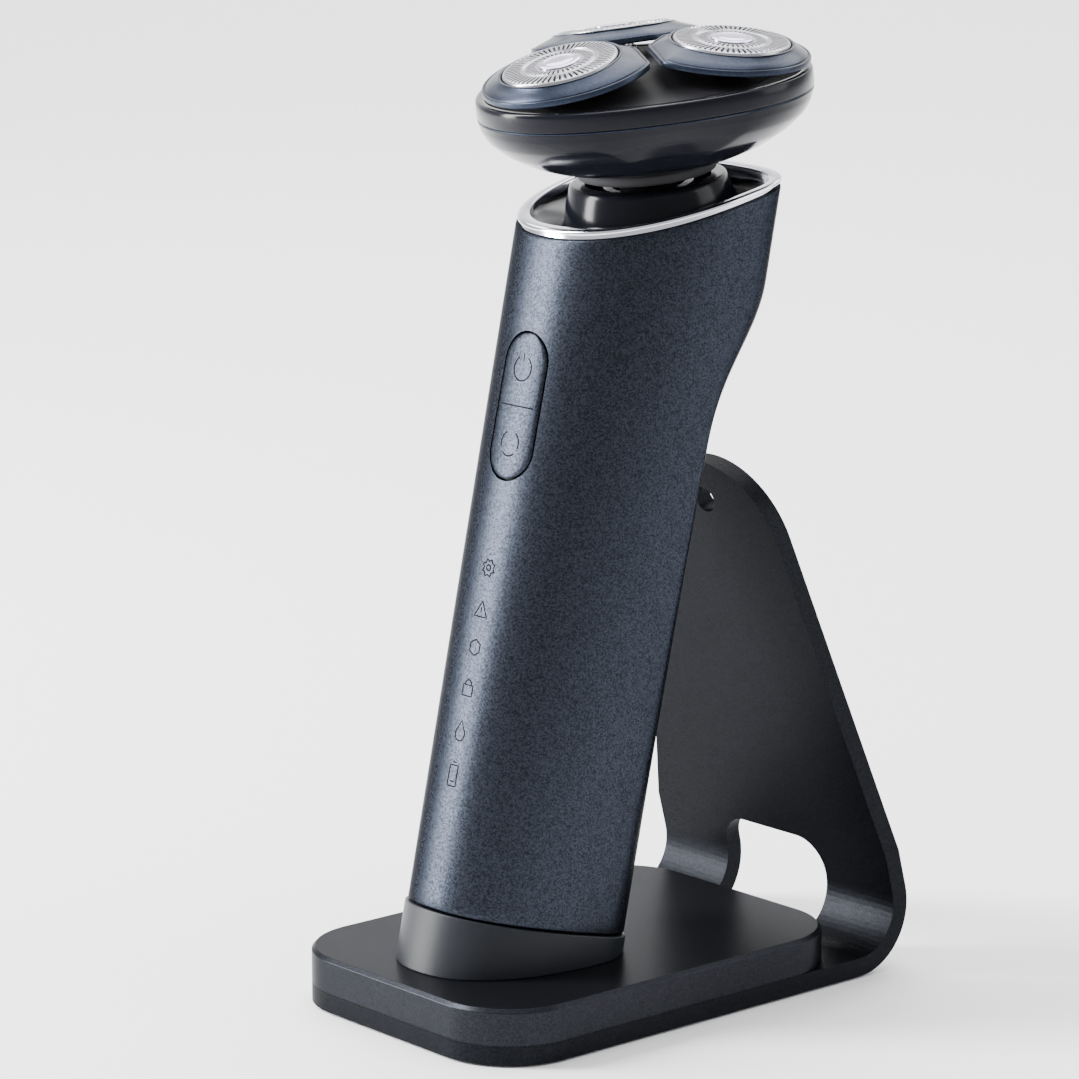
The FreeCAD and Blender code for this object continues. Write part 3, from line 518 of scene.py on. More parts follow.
class Workshop:
    """Keeps the frame and the palette, and dresses and mounts pieces."""

    def __init__(self, frame: dict) -> None:
        """Remember the frame.
        """
        self.frame = frame
        self.palette = Palette()
        self.slots = {row["node"]: row["material_slot"] for row in frame["record"]["subparts"]}
        self.covered: set[str] = set()

    def mount(
        self, piece: bpy.types.Object, body: str, finish: Finish, replaces: Sequence[str] = ()
    ) -> bpy.types.Object:
        """Dress a piece and let it ride on a body.

        Args:
            piece: The piece, in place.
            body: The CAD body that it moves with.
            finish: Its finish.
            replaces: CAD nodes that it stands for.

        Returns:
            The same piece.
        """
        piece.data.materials.clear()
        piece.data.materials.append(self.palette.get(finish))
        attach(piece, body)
        if replaces:
            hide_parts(*replaces)
            self.covered.update(replaces)
        LOG.info("%s on %s, %s, %d faces", piece.name, body, finish.value, len(piece.data.polygons))
        return piece

    def refined(
        self, node: str, name: str, body: str, finish: Finish, edge: float, angle: float = 32.0
    ) -> bpy.types.Object:
        """A merged copy of a CAD node with small rounded edges.

        Args:
            node: The CAD node that it stands for.
            name: The piece's name.
            body: The CAD body.
            finish: Its finish.
            edge: Width of the edge rounding, in millimetres.
            angle: Edges sharper than this are rounded, in degrees.

        Returns:
            The mounted piece.
        """
        mesh = self.frame["nodes"][node].data.copy()
        mesh.name = name
        work = bmesh.new()
        work.from_mesh(mesh)
        bmesh.ops.remove_doubles(work, verts=work.verts, dist=2e-6)
        bmesh.ops.dissolve_limit(
            work, angle_limit=math.radians(0.4), verts=work.verts, edges=work.edges, delimit=set()
        )
        work.to_mesh(mesh)
        work.free()
        mesh.shade_smooth()
        mesh.set_sharp_from_angle(angle=math.radians(angle))
        piece = bpy.data.objects.new(name, mesh)
        bpy.context.scene.collection.objects.link(piece)
        bevel = piece.modifiers.new("edge", "BEVEL")
        bevel.width = edge * MM
        bevel.segments = 3
        bevel.limit_method = "ANGLE"
        bevel.angle_limit = math.radians(angle)
        bevel.use_clamp_overlap = True
        bevel.harden_normals = True
        return self.mount(piece, body, finish, [node])

    def dress_rest(self) -> None:
        """Give every CAD node that still shows its slot's finish, or a dark one that paints the shade on
        it.
        """
        for node, thing in self.frame["nodes"].items():
            if node not in self.covered:
                # the gear cover takes a dark finish here, which paints the shade under the pods
                finish = PAINTED_SHADE_FINISH.get(node, Finish(self.slots[node]))
                thing.data.materials.clear()
                thing.data.materials.append(self.palette.get(finish))
                LOG.info("CAD node %s, %s", node, finish.value)


# ---- shared layout
FRONT_EDGE = -51.15
HANDLE_SEAT = Seat((0.0, FRONT_EDGE + 36.2, 10.8), turn_x(-13.14))
HEAD_SEAT = Seat((0.0, FRONT_EDGE + 63.25, 154.0), turn_x(7.6))
POD_ANGLES = (-90.0, 30.0, 150.0)
POD_RADIUS = 18.0
POD_TILT = 9.5
POD_BASE = 20.4


def pod_seat(angle: float) -> Seat:
    """A pod's frame: x outwards, z along its tilted axis.

    Args:
        angle: Where the pod stands round the head, in degrees.

    Returns:
        Its frame in the row frame.
    """
    x = POD_RADIUS * math.cos(math.radians(angle))
    y = POD_RADIUS * math.sin(math.radians(angle))
    return HEAD_SEAT.inner((x, y, POD_BASE), turn_z(angle) @ turn_y(POD_TILT))


@dataclass
class Stand:
    """The bent sheet, the base block on it and the dock's collar."""

    shop: Workshop
    sheet_edge: float = 0.45
    housing_edge: float = 0.3
    collar_edge: float = 0.35

    def build(self) -> None:
        """Round the edges of the stand's parts and dress them."""
        self.shop.refined("stand_sheet", "bent_sheet", "stand", Finish.STAND_PAINT, self.sheet_edge)
        self.shop.refined("base_housing", "base_block", "stand", Finish.BASE_PAINT, self.housing_edge)
        self.shop.refined("dock_collar", "foot_collar", "stand", Finish.COLLAR_PLASTIC, self.collar_edge)
        self.shop.refined("dock_floor", "dock_plate", "stand", Finish.INNER_PLASTIC, 0.2)
        self.shop.refined("base_feet", "base_pads", "stand", Finish.RUBBER, 0.25)
        self.shop.refined("charge_inlet", "charging_socket", "stand", Finish.INNER_PLASTIC, 0.2)


@dataclass
class Handle:
    """The metal sleeve, its slanted rim, the button and the printed symbols."""

    shop: Workshop
    start: float = 5.4
    side_foot: float = 18.25
    side_widening: float = 0.033
    front: float = 27.9
    back_foot: float = 13.3
    back_thinning: float = 0.08
    flare: float = 10.9
    flare_start: float = 97.7
    flare_end: float = 128.9
    front_power: float = 2.31
    back_power: float = 1.98
    back_top_power: float = 3.1
    rim_front: float = 131.3
    rim_back: float = 150.1
    wall: float = 1.6
    band: float = 1.7
    around: int = 192
    body_rows: int = 90
    button_height: float = 98.7
    button_radius: float = 5.5
    button_half: float = 13.4
    button_proud: float = 0.2
    gap: float = 0.45
    dish_inset: float = 2.15
    dish_drop: float = 1.6
    dish_radius: float = 15.9
    dish_foot: float = -7.4
    dish_slant: float = 1.2
    dish_wall: float = 1.0
    dish_rows: int = 16
    icon_heights: tuple[float, ...] = (68.75, 61.0, 54.0, 46.6, 38.4, 30.3)

    def section(self, height: Array, angle: Array, inset: Array) -> tuple[Array, Array]:
        """The outline at a height: quarter superellipses |x/a|^p + |y/b|^p = 1.

        The back quarter's depth thins upwards and swells again along a smooth step,
        and its power rises with the same step.

        Args:
            height: Height along the handle's axis.
            angle: Angle round the outline.
            inset: How far the outline is drawn in.

        Returns:
            x and y, in millimetres.
        """
        step = smooth_step((height - self.flare_start) / (self.flare_end - self.flare_start))
        c, s = np.cos(angle), np.sin(angle)
        side = self.side_foot + self.side_widening * height - inset
        back = self.back_foot - self.back_thinning * height + self.flare * step - inset
        swollen = self.back_power + (self.back_top_power - self.back_power) * step
        power = np.where(s > 0, swollen, self.front_power)
        depth = np.where(s > 0, back, self.front - inset)
        x = side * np.sign(c) * np.abs(c) ** (2 / power)
        y = depth * np.sign(s) * np.abs(s) ** (2 / power)
        return x, y

    def rim_height(self, y: Array) -> Array:
        """Height of the slanted rim plane: a straight rise from front to back.

        Args:
            y: Places along the handle's depth.

        Returns:
            Heights along the handle's axis.
        """
        back = self.back_foot - self.back_thinning * self.rim_back + self.flare
        slope = (self.rim_back - self.rim_front) / (self.front + back)
        return self.rim_front + slope * (y + self.front)

    def at_rim(self, angle: Array, inset: Array, offset: Array) -> Array:
        """Points of the outline where it meets the rim plane, moved along the axis.

        The height depends on y and y on the height, so they are solved in turn.

        Args:
            angle: Angle round the outline.
            inset: How far it is drawn in.
            offset: Distance above the plane.

        Returns:
            Points (..., 3) in the handle's frame.
        """
        height = np.full(np.broadcast(angle, inset, offset).shape, self.rim_back)
        for _ in range(12):
            x, y = self.section(height, angle, inset)
            height = self.rim_height(y) + offset
        return np.stack([x, y, height], -1)

    def sleeve(self) -> bpy.types.Object:
        """The outer wall, its rounded lips and the inner wall, as one closed skin."""
        angle = circle(self.around)[None]
        lip = np.array([(0.0, 0.35), (0.05, 0.15), (0.18, 0.03), (0.4, 0.0), (1.3, 0.0), (1.6, 0.25)])
        inset, drop = lip[:, :1], lip[:, 1:]
        top = self.at_rim(angle, inset, -self.band - drop)
        low = self.start + drop
        x, y = self.section(low, angle, inset)
        bottom = np.stack([x, y, np.broadcast_to(low, x.shape)], -1)
        outer = self._wall(bottom[0], top[0], 0.0, self.body_rows)
        inner = self._wall(bottom[-1], top[-1], self.wall, 30)
        rows = np.concatenate([bottom[::-1][:-1], outer, top[1:], inner[::-1][1:-1]])
        sleeve = grid_mesh("handle_sleeve", HANDLE_SEAT.to_row(rows), wrap_rows=True)
        radius, half = self.button_radius + self.gap, self.button_half + self.gap
        share = np.array([0.0, 0.35, 0.7, 1.0])
        plug = np.column_stack([np.append(share, share[::-1]), np.repeat([3.0, -5.0], 4)])
        cutter = self._pill_body("pill_cutter", radius, half, plug)
        cut = sleeve.modifiers.new("opening", "BOOLEAN")
        cut.operation = "DIFFERENCE"
        cut.solver = "EXACT"
        cut.object = cutter
        graph = bpy.context.evaluated_depsgraph_get()
        mesh = bpy.data.meshes.new_from_object(sleeve.evaluated_get(graph))
        sleeve.modifiers.clear()
        sleeve.data = mesh
        bpy.data.objects.remove(cutter)
        mesh.shade_smooth()
        mesh.set_sharp_from_angle(angle=math.radians(35))
        return self.shop.mount(sleeve, "handle", Finish.HANDLE_METAL, ["handle_shell"])

    def _wall(self, low: Array, high: Array, inset: float, rows: int) -> Array:
        """Rows between two edges of the sleeve, each on the outline at its height.

        Args:
            low: The lower edge's points.
            high: The upper edge's points.
            inset: How far the wall is drawn in.
            rows: Number of rows, both edges included.

        Returns:
            Points (rows, around, 3).
        """
        share = np.linspace(0, 1, rows)[:, None]
        height = low[None, :, 2] * (1 - share) + high[None, :, 2] * share
        x, y = self.section(height, circle(self.around)[None], np.array(inset))
        return np.stack([x, y, height], -1)

    def front_depth(self, x: Array, height: Array) -> Array:
        """The front wall, from the superellipse.

        Args:
            x: Places across the handle.
            height: Heights along its axis.

        Returns:
            y of the wall there.
        """
        side = self.side_foot + self.side_widening * height
        return -self.front * (1 - np.abs(x / side) ** self.front_power) ** (1 / self.front_power)

    def rim_ring(self) -> bpy.types.Object:
        """Polished ring: a rounded lip over a recessed groove, carried round the rim."""
        profile = np.array([
            (2.2, -4.6), (2.2, -0.3), (2.1, -0.1), (1.9, 0.0), (0.45, 0.0), (0.22, -0.08),
            (0.1, -0.3), (0.1, -0.62), (0.16, -0.74), (0.3, -0.8), (0.75, -0.82),
            (0.75, -1.9), (1.75, -1.95), (1.75, -4.6),
        ])
        rows = self.at_rim(circle(self.around)[None], profile[:, :1], profile[:, 1:])
        ring = grid_mesh("rim_ring", HANDLE_SEAT.to_row(rows), wrap_rows=True, smooth_degrees=50)
        return self.shop.mount(ring, "handle", Finish.RIM, ["rim_trim"])

    def dish(self) -> bpy.types.Object:
        """Glossy dish inside the rim: it falls as a square root from the rim to the neck."""
        angle = circle(self.around)
        rim = self.at_rim(angle, np.array(self.dish_inset), np.array(-self.dish_drop))
        low = self.dish_foot + self.dish_slant * np.sin(angle)
        foot = rings(np.array(self.dish_radius), low, angle)
        inner = (HEAD_SEAT.to_row(foot) - np.array(HANDLE_SEAT.origin)) @ HANDLE_SEAT.turn
        share = np.linspace(0, 1, self.dish_rows)[:, None, None]
        blend = rim[None, :, :2] * (1 - share) + inner[None, :, :2] * share
        depth = rim[None, :, 2:] * (1 - np.sqrt(share)) + inner[None, :, 2:] * np.sqrt(share)
        surface = np.concatenate([blend, depth], -1)
        under = surface.copy()
        under[..., 2] -= self.dish_wall
        rows = np.concatenate([surface, under[::-1]])
        dish = grid_mesh("rim_dish", HANDLE_SEAT.to_row(rows), wrap_rows=True, smooth_degrees=60)
        return self.shop.mount(dish, "handle", Finish.BLACK_GLOSS, ["deck"])

    def neck(self) -> bpy.types.Object:
        """Glossy cone under the head, with a rounded shoulder and a slanted foot."""
        profile = np.array([
            (11.8, -2.9), (11.8, -1.75), (12.0, -1.6), (13.9, -1.6), (14.3, -1.68), (14.6, -1.95),
            (14.9, -2.8), (15.6, -5.0), (16.35, -7.9), (14.6, -7.9), (13.4, -3.0),
        ])
        angle = circle(144)
        z = profile[:, 1:]
        slant = np.where(z < -7, 1.3 * np.sin(angle), 0.0)
        rows = rings(profile[:, :1], z + slant, angle)
        cone = grid_mesh("neck_cone", HEAD_SEAT.to_row(rows), wrap_rows=True)
        return self.shop.mount(cone, "handle", Finish.BLACK_GLOSS, ["neck"])

    def pill_outline(self, radius: float, half: float, count: int = 96) -> tuple[Array, Array]:
        """A stadium: points a radius away from an upright middle line.

        Args:
            radius: The rounded ends' radius.
            half: Half of the whole length.
            count: Points round.

        Returns:
            Outline points and their nearest middle points, each (count, 2).
        """
        arm = half - radius
        angle = circle(count) + FULL_TURN / count / 2
        around = np.stack([np.cos(angle), np.sin(angle)], -1) * radius
        middle = np.stack([np.zeros(count), np.sign(np.sin(angle)) * arm], -1)
        return around + middle, middle

    def _pill_body(
        self, name: str, radius: float, half: float, shape: Array, smooth_degrees: float = 35.0
    ) -> bpy.types.Object:
        """A stadium-shaped plug in the front wall.

        Args:
            name: The piece's name.
            radius: Radius of its ends.
            half: Half its length.
            shape: Share of the outline and distance out of the wall, row by row.
            smooth_degrees: Edges sharper than this stay hard.

        Returns:
            The new object.
        """
        outline, middle = self.pill_outline(radius, half)
        share, out = shape[:, :1, None], shape[:, 1:]
        flat = middle[None] * (1 - share) + outline[None] * share
        height = flat[..., 1] + self.button_height
        rows = np.stack([flat[..., 0], self.front_depth(flat[..., 0], height) - out, height], -1)
        return grid_mesh(name, HANDLE_SEAT.to_row(rows), smooth_degrees=smooth_degrees)

    def button(self) -> bpy.types.Object:
        """Rocking pill: the wall's own curve, raised and rounded at its edge."""
        shape = np.array([
            # share of the outline, height as a multiple of how far the pill stands proud
            (0.0, 1.0), (0.3, 1.0), (0.6, 0.98), (0.85, 0.92), (0.93, 0.75), (0.97, 0.45), (1.0, 0.0),
            (1.0, -1.4), (1.0, -3.0), (0.95, -3.1), (0.5, -3.1), (0.0, -3.1),
        ])
        shape[:, 1] *= self.button_proud
        pill = self._pill_body("rocker_pill", self.button_radius, self.button_half, shape, 60)
        return self.shop.mount(pill, "button", Finish.BUTTON, ["button"])

    def _lay(self, line: Array, proud: float) -> Array:
        """Lay a flat line on the handle's front.

        Args:
            line: Points (n, 2) as x and height.
            proud: How far out of the wall it lies.

        Returns:
            Places, sideways and outward directions (n, 3, 3) in the row frame.
        """
        x, height = line[:, 0], line[:, 1]
        step = 0.01
        y = self.front_depth(x, height)
        slope = (self.front_depth(x + step, height) - y) / step
        normal = np.stack([slope, -np.ones_like(x), np.zeros_like(x)], -1)
        normal /= np.linalg.norm(normal, axis=1, keepdims=True)
        place = np.stack([x, y, height], -1) + normal * proud
        along = np.gradient(place, axis=0)
        if np.linalg.norm(line[0] - line[-1]) < 1e-6:
            ends = place[1] - place[-2]
            along[0] = along[-1] = ends
        side = np.cross(along, normal)
        side /= np.linalg.norm(side, axis=1, keepdims=True)
        turn = HANDLE_SEAT.turn.T
        return np.stack([HANDLE_SEAT.to_row(place), side @ turn, normal @ turn], 1)

    @staticmethod
    def arc(x: float, z: float, radius: float, start: float, end: float, count: int = 24) -> Array:
        """Points of a circle's arc.

        Args:
            x: Its centre across the handle.
            z: Its centre along the handle.
            radius: Its radius.
            start: First angle in degrees.
            end: Last angle in degrees.
            count: Number of points.

        Returns:
            Points (count, 2).
        """
        angle = np.radians(np.linspace(start, end, count))
        return np.stack([x + radius * np.cos(angle), z + radius * np.sin(angle)], -1)

    @staticmethod
    def path(*corners: tuple[float, float]) -> Array:
        """A line through corners, with five steps to each side.

        Args:
            corners: The corners, as x and height.

        Returns:
            Points (n, 2).
        """
        table = np.array(corners, float)
        share = np.linspace(0, 1, 6)[:-1][None, :, None]
        dense = table[:-1, None] * (1 - share) + table[1:, None] * share
        return np.vstack([dense.reshape(-1, 2), table[-1:]])

    def frame_line(self, half: float, low: float, high: float) -> Array:
        """A closed upright rectangle on the handle's middle line.

        Args:
            half: Half its width.
            low: Its lower side.
            high: Its upper side.

        Returns:
            Points (n, 2).
        """
        return self.path((-half, low), (half, low), (half, high), (-half, high), (-half, low))

    def button_marks(self) -> bpy.types.Object:
        """Power sign, dividing line and a ring of three arcs on the button."""
        z = self.button_height
        lines = [
            self.arc(0.0, z + 6.9, 2.3, 120, 420),
            self.path((0.0, z + 8.2), (0.0, z + 9.6)),
            self.path((-4.3, z), (4.3, z)),
        ]
        lines += [self.arc(0.0, z - 6.9, 2.3, start, start + 80) for start in (-20, 120, 230)]
        laid = [self._lay(line, self.button_proud * 0.97) for line in lines]
        marks = tube_along("button_marks", laid, 0.26, 0.04)
        return self.shop.mount(marks, "button", Finish.LENS)

    def front_marks(self) -> bpy.types.Object:
        """Six small outline symbols in a row down the front."""
        h = self.icon_heights
        spoke = [(k * math.pi / 8, 1.7 if k % 2 else 1.22) for k in range(17)]
        star = [(r * math.cos(a), h[0] + r * math.sin(a)) for a, r in spoke]
        drop = self.arc(0.0, h[4] - 0.5, 1.25, 150, 390)
        drop = np.vstack([drop, np.array([(0.0, h[4] + 2.0)]), drop[:1]])
        sixth = [k * math.pi / 3 for k in range(7)]
        hexagon = [(1.5 * math.sin(a), h[2] + 1.5 * math.cos(a)) for a in sixth]
        lines = [
            self.path(*star),
            self.arc(0.0, h[0], 0.55, 0, 360),
            self.path((-1.7, h[1] - 1.3), (1.7, h[1] - 1.3), (0.0, h[1] + 1.6), (-1.7, h[1] - 1.3)),
            self.path((0.0, h[1] + 0.5), (0.0, h[1] - 0.6)),
            self.path(*hexagon),
            self.frame_line(1.3, h[3] - 1.6, h[3] + 0.4),
            self.arc(0.0, h[3] + 0.5, 0.85, 0, 180),
            drop,
            self.frame_line(1.1, h[5] - 2.1, h[5] + 1.8),
            self.path((-0.45, h[5] + 2.35), (0.45, h[5] + 2.35)),
            self.path((-0.5, h[5] - 1.2), (0.5, h[5] - 1.2)),
        ]
        laid = [self._lay(line, 0.01) for line in lines]
        marks = tube_along("front_marks", laid, 0.24, 0.04)
        return self.shop.mount(marks, "handle", Finish.LENS)

    def build(self) -> None:
        """Build every visible part of the handle."""
        self.sleeve()
        self.rim_ring()
        self.dish()
        self.neck()
        self.button()
        self.button_marks()
        self.front_marks()
        self.shop.refined("foot_cap", "foot_plug", "handle", Finish.COLLAR_PLASTIC, 0.3)


@dataclass
class Head:
    """The lobed bowl and band, and the rubber disc that they stand on."""

    shop: Workshop
    bottom: float = 1.3
    seam: float = 13.4
    ring_top: float = 17.3
    radius: float = 30.6
    lobe: float = 1.8
    around: int = 240
    flute_angles: tuple[float, ...] = (-30.0, 90.0, 210.0)
    flute_half: float = 29.0
    flute_foot: float = 0.35
    flute_depth: float = 1.9
    wall: float = 1.4
    latch_hole: float = 3.0
    profile: tuple[tuple[float, float, float], ...] = (
        (0.0, 12.8, 0.0), (0.08, 17.2, 0.5), (0.24, 21.9, 0.9), (0.45, 26.2, 1.2),
        (0.68, 29.0, 1.5), (0.88, 30.3, 1.7), (1.0, 30.6, 1.8),
    )

    def outline(self, radius: Array, lobe: Array, angle: Array) -> Array:
        """A circle whose radius swells by the lobe at each of three pods.

        Args:
            radius: Mean radii.
            lobe: How far they swell and shrink.
            angle: Angles round the head.

        Returns:
            Radii, in millimetres.
        """
        return radius + lobe * np.cos(3 * (angle + math.pi / 2))

    def bowl(self) -> bpy.types.Object:
        """The bowl: radius by height, lobes, less three shallow flutes.

        A flute takes depth times (1 - (d/w)^2) off the radius, where d is the angle from
        its middle and w its half width, which grows with height.
        """
        table = np.array(self.profile)
        share = np.concatenate([[0.0, 0.01, 0.03], np.linspace(0.06, 0.97, 40), [0.985, 1.0]])
        radius = np.interp(share, table[:, 0], table[:, 1])
        fine = np.polynomial.Polynomial.fit(table[:, 0], table[:, 1], 5)
        radius = np.where(share > 0.08, 0.5 * radius + 0.5 * fine(share), radius)
        lobe = np.interp(share, table[:, 0], table[:, 2])
        angle = circle(self.around)
        grown = self.flute_foot + (1 - self.flute_foot) * smooth_step(share / 0.9)
        width = np.radians(self.flute_half * grown)
        depth = self.flute_depth * np.sin(share * math.pi * 0.80 + 0.05)
        surface = self.outline(radius[:, None], lobe[:, None], angle[None])
        for middle in self.flute_angles:
            away = np.angle(np.exp(1j * (angle - math.radians(middle))))
            hollow = np.clip(1 - (away[None] / width[:, None]) ** 2, 0, 1)
            surface = surface - depth[:, None] * hollow ** 1.2
        z = self.bottom + share * (self.seam - self.bottom)
        inside = self.bottom + self.wall
        outer = rings(surface, z[:, None], angle)
        inner = rings((surface - self.wall)[::-1], np.maximum(z, inside)[::-1, None], angle)
        hole = rings(np.array(self.latch_hole), np.array([[inside], [self.bottom]]), angle)
        rows = np.concatenate([outer, inner, hole])
        bowl = grid_mesh("head_bowl_shell", HEAD_SEAT.to_row(rows), wrap_rows=True, smooth_degrees=50)
        return self.shop.mount(bowl, "head", Finish.BLACK_GLOSS, ["head_bowl"])

    def _lobed(self, name: str, profile: Array, smooth_degrees: float = 35.0) -> bpy.types.Object:
        """A closed profile carried round the lobes.

        Args:
            name: The piece's name.
            profile: Distance outside the outline, and height.
            smooth_degrees: Edges sharper than this stay hard.

        Returns:
            The new object.
        """
        angle = circle(self.around)
        radius = self.outline(self.radius + profile[:, :1], np.array(self.lobe), angle)
        rows = HEAD_SEAT.to_row(rings(radius, profile[:, 1:], angle))
        return grid_mesh(name, rows, wrap_rows=True, smooth_degrees=smooth_degrees)

    def band(self) -> bpy.types.Object:
        """Glossy band: an upright wall with rounded edges, carried round the lobes."""
        low, high = self.seam + 0.35, self.ring_top
        profile = np.array([
            (-2.3, low), (-0.15, low), (0.0, low + 0.12), (0.1, low + 0.3), (0.1, high - 0.8),
            (0.02, high - 0.35), (-0.15, high - 0.12), (-0.4, high), (-1.4, high), (-1.7, high - 0.2),
            (-1.8, high - 0.6), (-2.3, high - 1.2),
        ])
        ring = self._lobed("head_band", profile, 55)
        return self.shop.mount(ring, "head", Finish.BLACK_GLOSS, ["head_ring"])

    def seam_line(self) -> bpy.types.Object:
        """Thin grey line between bowl and band."""
        z = self.seam
        profile = np.array([
            (-1.5, z), (-0.1, z), (0.0, z + 0.08), (0.0, z + 0.26), (-0.1, z + 0.34), (-1.5, z + 0.34),
        ])
        line = self._lobed("seam_line", profile)
        return self.shop.mount(line, "head", Finish.POD)

    def disc(self) -> bpy.types.Object:
        """Rubber disc with rounded edges between the neck and the bowl."""
        profile = [
            (11.0, -0.55), (12.4, -0.6), (12.8, -0.45), (13.0, -0.1), (13.0, 0.75),
            (12.85, 1.1), (12.5, 1.22), (12.3, 0.38), (11.0, 0.38),
        ]
        disc = turned("neck_disc", profile, HEAD_SEAT, 144)
        return self.shop.mount(disc, "mount", Finish.RUBBER, ["neck_seal"])

    def build(self) -> None:
        """Build the head's body."""
        self.bowl()
        self.band()
        self.seam_line()
        self.disc()


@dataclass
class Pod:
    """One petal-shaped pressure frame with its slotted guard and centre cap."""

    shop: Workshop
    number: int
    angle: float
    gap: float = 0.75
    truncation: float = 3.4
    outer: float = 14.6
    arc_centre: float = -1.564
    band: float = 1.2
    top: float = 3.0
    disc: float = 10.8
    guard_top: float = 3.4
    outer_slits: int = 60
    inner_slits: int = 40
    slit_depth: float = 0.8
    around: int = 480
    sharpness: float = 70.0
    seat: Seat = field(init=False)

    def __post_init__(self) -> None:
        """Work out the pod's frame."""
        self.seat = pod_seat(self.angle)

    def outline(self) -> Array:
        """The petal as a radius for each angle: the nearest of its straight sides,
        its inner edge and its outer arc, with corners rounded by a soft minimum.

        Returns:
            Radii (around,), in millimetres.
        """
        angle = circle(self.around)
        c, s = np.cos(angle), np.sin(angle)
        reach = POD_RADIUS * math.sin(math.radians(60)) - self.gap
        cosine = [
            np.cos(angle - math.radians(150)),
            np.cos(angle + math.radians(150)),
            -c,
        ]
        limit = [reach, reach, POD_RADIUS - self.truncation]
        side = [np.where(k > 0.05, d / np.maximum(k, 0.05), 99.0) for k, d in zip(cosine, limit)]
        arc_radius = self.outer - self.arc_centre
        side.append(self.arc_centre * c + np.sqrt(arc_radius**2 - (self.arc_centre * s) ** 2))
        nearest = np.min(side, axis=0)
        return nearest * sum((r / nearest) ** -self.sharpness for r in side) ** (-1 / self.sharpness)

    def petal(self) -> bpy.types.Object:
        """The frame: an upright band, a fine double line, then a slope up to the disc.

        Each row mixes the petal's outline with the disc's circle by a share.
        """
        edge = self.outline()[None]
        bore = self.disc + 0.2
        shape = np.array([
            # share of the circle, inset, height
            (1.0, 0.0, 0.0), (0.0, 0.5, 0.0), (0.0, 0.15, 0.06), (0.0, 0.0, 0.25), (0.0, 0.0, 0.95),
            (0.0, 0.06, 1.1), (0.0, 0.2, 1.2), (0.0, 0.42, 1.2), (0.0, 0.5, 1.08), (0.0, 0.62, 1.08),
            (0.0, 0.72, 1.22), (0.0, 0.95, 1.42), (0.35, 0.6, 1.95), (0.7, 0.35, 2.52), (0.9, 0.0, 2.86),
            (1.0, -0.55, 2.98), (1.0, -0.3, 3.02), (1.0, -0.08, 2.94), (1.0, 0.0, 2.75),
        ])
        share, inset, z = shape[:, :1], shape[:, 1:2], shape[:, 2:]
        radius = (edge - inset) * (1 - share) + (bore - inset) * share
        rows = self.seat.to_row(rings(radius, z, circle(self.around)))
        petal = grid_mesh(f"petal_{self.number}", rows, wrap_rows=True, smooth_degrees=30)
        return self.shop.mount(petal, f"pod_body_{self.number}", Finish.POD, [f"pod_{self.number}"])

    def guard(self) -> bpy.types.Object:
        """The steel guard: height falls in slits, z = top - depth * pulse(angle) * window(radius).

        Two tracks carry the slits, with a smooth hollow between them.
        """
        radius = np.concatenate([
            [3.6, 4.0, 4.3, 4.5, 4.6], np.linspace(4.8, 6.0, 5), [6.2, 6.35, 6.6, 6.9, 7.1, 7.25],
            np.linspace(7.5, 9.9, 8), [10.1, 10.25, 10.45, 10.6],
        ])
        angle = circle(720)
        top = np.interp(
            radius,
            [3.6, 4.3, 6.1, 6.45, 6.8, 7.1, 9.9, 10.3, 10.6],
            [-0.02, 0.0, 0.0, -0.28, -0.28, 0.0, 0.0, -0.06, -0.22],
        )
        outer = smooth_step((radius - 7.2) / 0.25) * smooth_step((10.3 - radius) / 0.2)
        inner = smooth_step((radius - 4.5) / 0.2) * smooth_step((6.2 - radius) / 0.2)
        many = smooth_step((np.cos(angle * self.outer_slits) - 0.25) / 0.35)
        few = smooth_step((np.cos(angle * self.inner_slits) - 0.25) / 0.35)
        depth = self.slit_depth * (outer[:, None] * many[None] + inner[:, None] * few[None])
        z = self.guard_top + top[:, None] - depth
        side = np.array([(10.78, 2.95), (10.8, 2.6), (10.8, 0.4), (10.1, 0.3), (10.1, 2.2), (3.6, 2.2)])
        rows = np.concatenate([rings(radius[:, None], z, angle), rings(side[:, :1], side[:, 1:], angle)])
        guard = grid_mesh(f"slotted_guard_{self.number}", self.seat.to_row(rows), wrap_rows=True)
        return self.shop.mount(guard, f"pod_body_{self.number}", Finish.STEEL, [f"guard_{self.number}"])

    def cap(self) -> bpy.types.Object:
        """Centre cap: a low dome with a step."""
        t = self.guard_top
        profile = [
            (0.001, t - 0.4), (2.9, t - 0.4), (3.5, t - 0.1), (3.9, t + 0.02), (3.9, t + 0.2),
            (3.75, t + 0.3), (2.9, t + 0.34), (2.75, t + 0.28), (2.6, t + 0.28), (2.45, t + 0.36),
            (1.0, t + 0.4), (0.001, t + 0.4),
        ]
        cap = turned(f"guard_button_{self.number}", profile, self.seat, 96)
        return self.shop.mount(cap, f"pod_body_{self.number}", Finish.CAP, [f"guard_cap_{self.number}"])

    def build(self) -> None:
        """Build the pod."""
        self.petal()
        self.guard()
        self.cap()


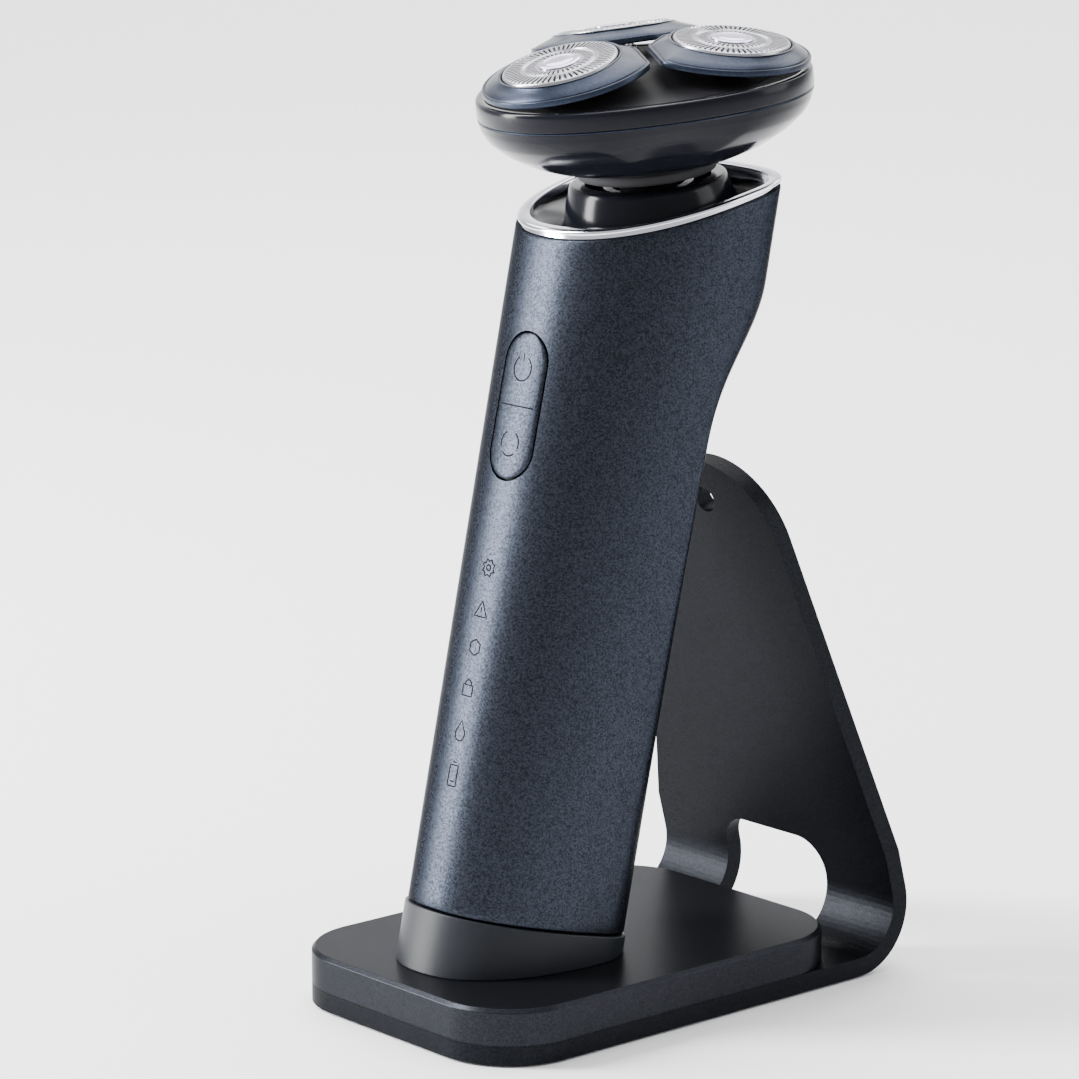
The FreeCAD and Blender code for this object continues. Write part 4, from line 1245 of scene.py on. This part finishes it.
@dataclass
class Studio:
    """Pale floor, soft lights and the camera."""

    target: tuple[float, float, float] = (0.0, -14.2, 87.65)
    azimuth: float = 48.95
    elevation: float = 12.03
    distance: float = 826.56
    lens: float = 150.0

    def camera(self) -> None:
        """Set the camera on its line of sight to the target."""
        a, e = math.radians(self.azimuth), math.radians(self.elevation)
        away = Vector((math.sin(a) * math.cos(e), -math.cos(a) * math.cos(e), math.sin(e)))
        data = bpy.data.cameras.new("camera")
        data.lens = self.lens
        data.sensor_width = 36.0
        data.clip_start = 0.01
        data.clip_end = 20.0
        eye = bpy.data.objects.new("camera", data)
        eye.location = (Vector(self.target) + away * self.distance) * MM
        eye.rotation_euler = away.to_track_quat("Z", "Y").to_euler()
        bpy.context.scene.collection.objects.link(eye)
        bpy.context.scene.camera = eye

    def floor(self) -> None:
        """A wide pale floor that curves up into a backdrop far behind."""
        across = np.linspace(-3000, 3000, 9)
        run = np.array([
            (-3000, 0), (1500, 0), (1900, 40), (2250, 180), (2500, 430), (2640, 800), (2700, 1300),
            (2700, 4000),
        ])
        x = np.broadcast_to(across[None], (len(run), len(across)))
        y = np.broadcast_to(run[:, :1], x.shape)
        z = np.broadcast_to(run[:, 1:], x.shape)
        turn = turn_z(self.azimuth)
        points = np.stack([x, y, z], -1) @ turn.T
        floor = grid_mesh("studio_floor", points, wrap_columns=False, smooth_degrees=80)
        paper = SurfaceFinish(
            "studio_paper", (0.90, 0.90, 0.905), roughness=0.6, cloud_scale=3, cloud_amount=0.01
        )
        floor.data.materials.append(paper.build())

    def light(self, name: str, place: tuple[float, float, float], aim: tuple[float, float, float],
              size: tuple[float, float], power: float) -> None:
        """A soft rectangular light.

        Args:
            name: Its name.
            place: Where it hangs, in metres, seen from the camera: right, away, up.
            aim: What it points at, the same way.
            size: Width and height in metres.
            power: Watts.
        """
        data = bpy.data.lights.new(name, "AREA")
        data.shape = "RECTANGLE"
        data.size, data.size_y = size
        data.energy = power
        turn = turn_z(self.azimuth)
        spot, goal = Vector(turn @ np.array(place)), Vector(turn @ np.array(aim))
        lamp = bpy.data.objects.new(name, data)
        lamp.location = spot
        lamp.rotation_euler = (spot - goal).to_track_quat("Z", "Y").to_euler()
        bpy.context.scene.collection.objects.link(lamp)

    def build(self) -> None:
        """Set up the studio."""
        world = bpy.data.worlds.new("soft_room")
        bpy.context.scene.world = world
        world.use_nodes = True
        sky = world.node_tree.nodes["Background"]
        sky.inputs["Color"].default_value = (0.94, 0.95, 0.97, 1)
        sky.inputs["Strength"].default_value = 0.85
        self.camera()
        self.floor()
        self.light("key_left", (-1.0, 0.05, 0.45), (0, 0, 0.09), (0.26, 1.4), 66)
        self.light("side_right", (1.0, -0.1, 0.5), (0, 0, 0.09), (0.5, 0.9), 5)
        self.light("top", (0.0, 0.1, 1.3), (0, 0, 0.1), (0.8, 0.8), 9)
        self.light("wash", (0.0, 1.3, 1.5), (0, 1.35, 0), (3.0, 1.6), 75)


def main() -> None:
    """Load the frame, build every piece, and set the studio."""
    logging.basicConfig(level=logging.INFO, format="%(name)s: %(message)s")
    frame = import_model()
    studio = Studio()
    studio.build()
    shop = Workshop(frame)
    Stand(shop).build()
    Handle(shop).build()
    Head(shop).build()
    for number, angle in enumerate(POD_ANGLES, 1):
        Pod(shop, number, angle).build()
    shop.dress_rest()


if __name__ == "__main__":
    main()
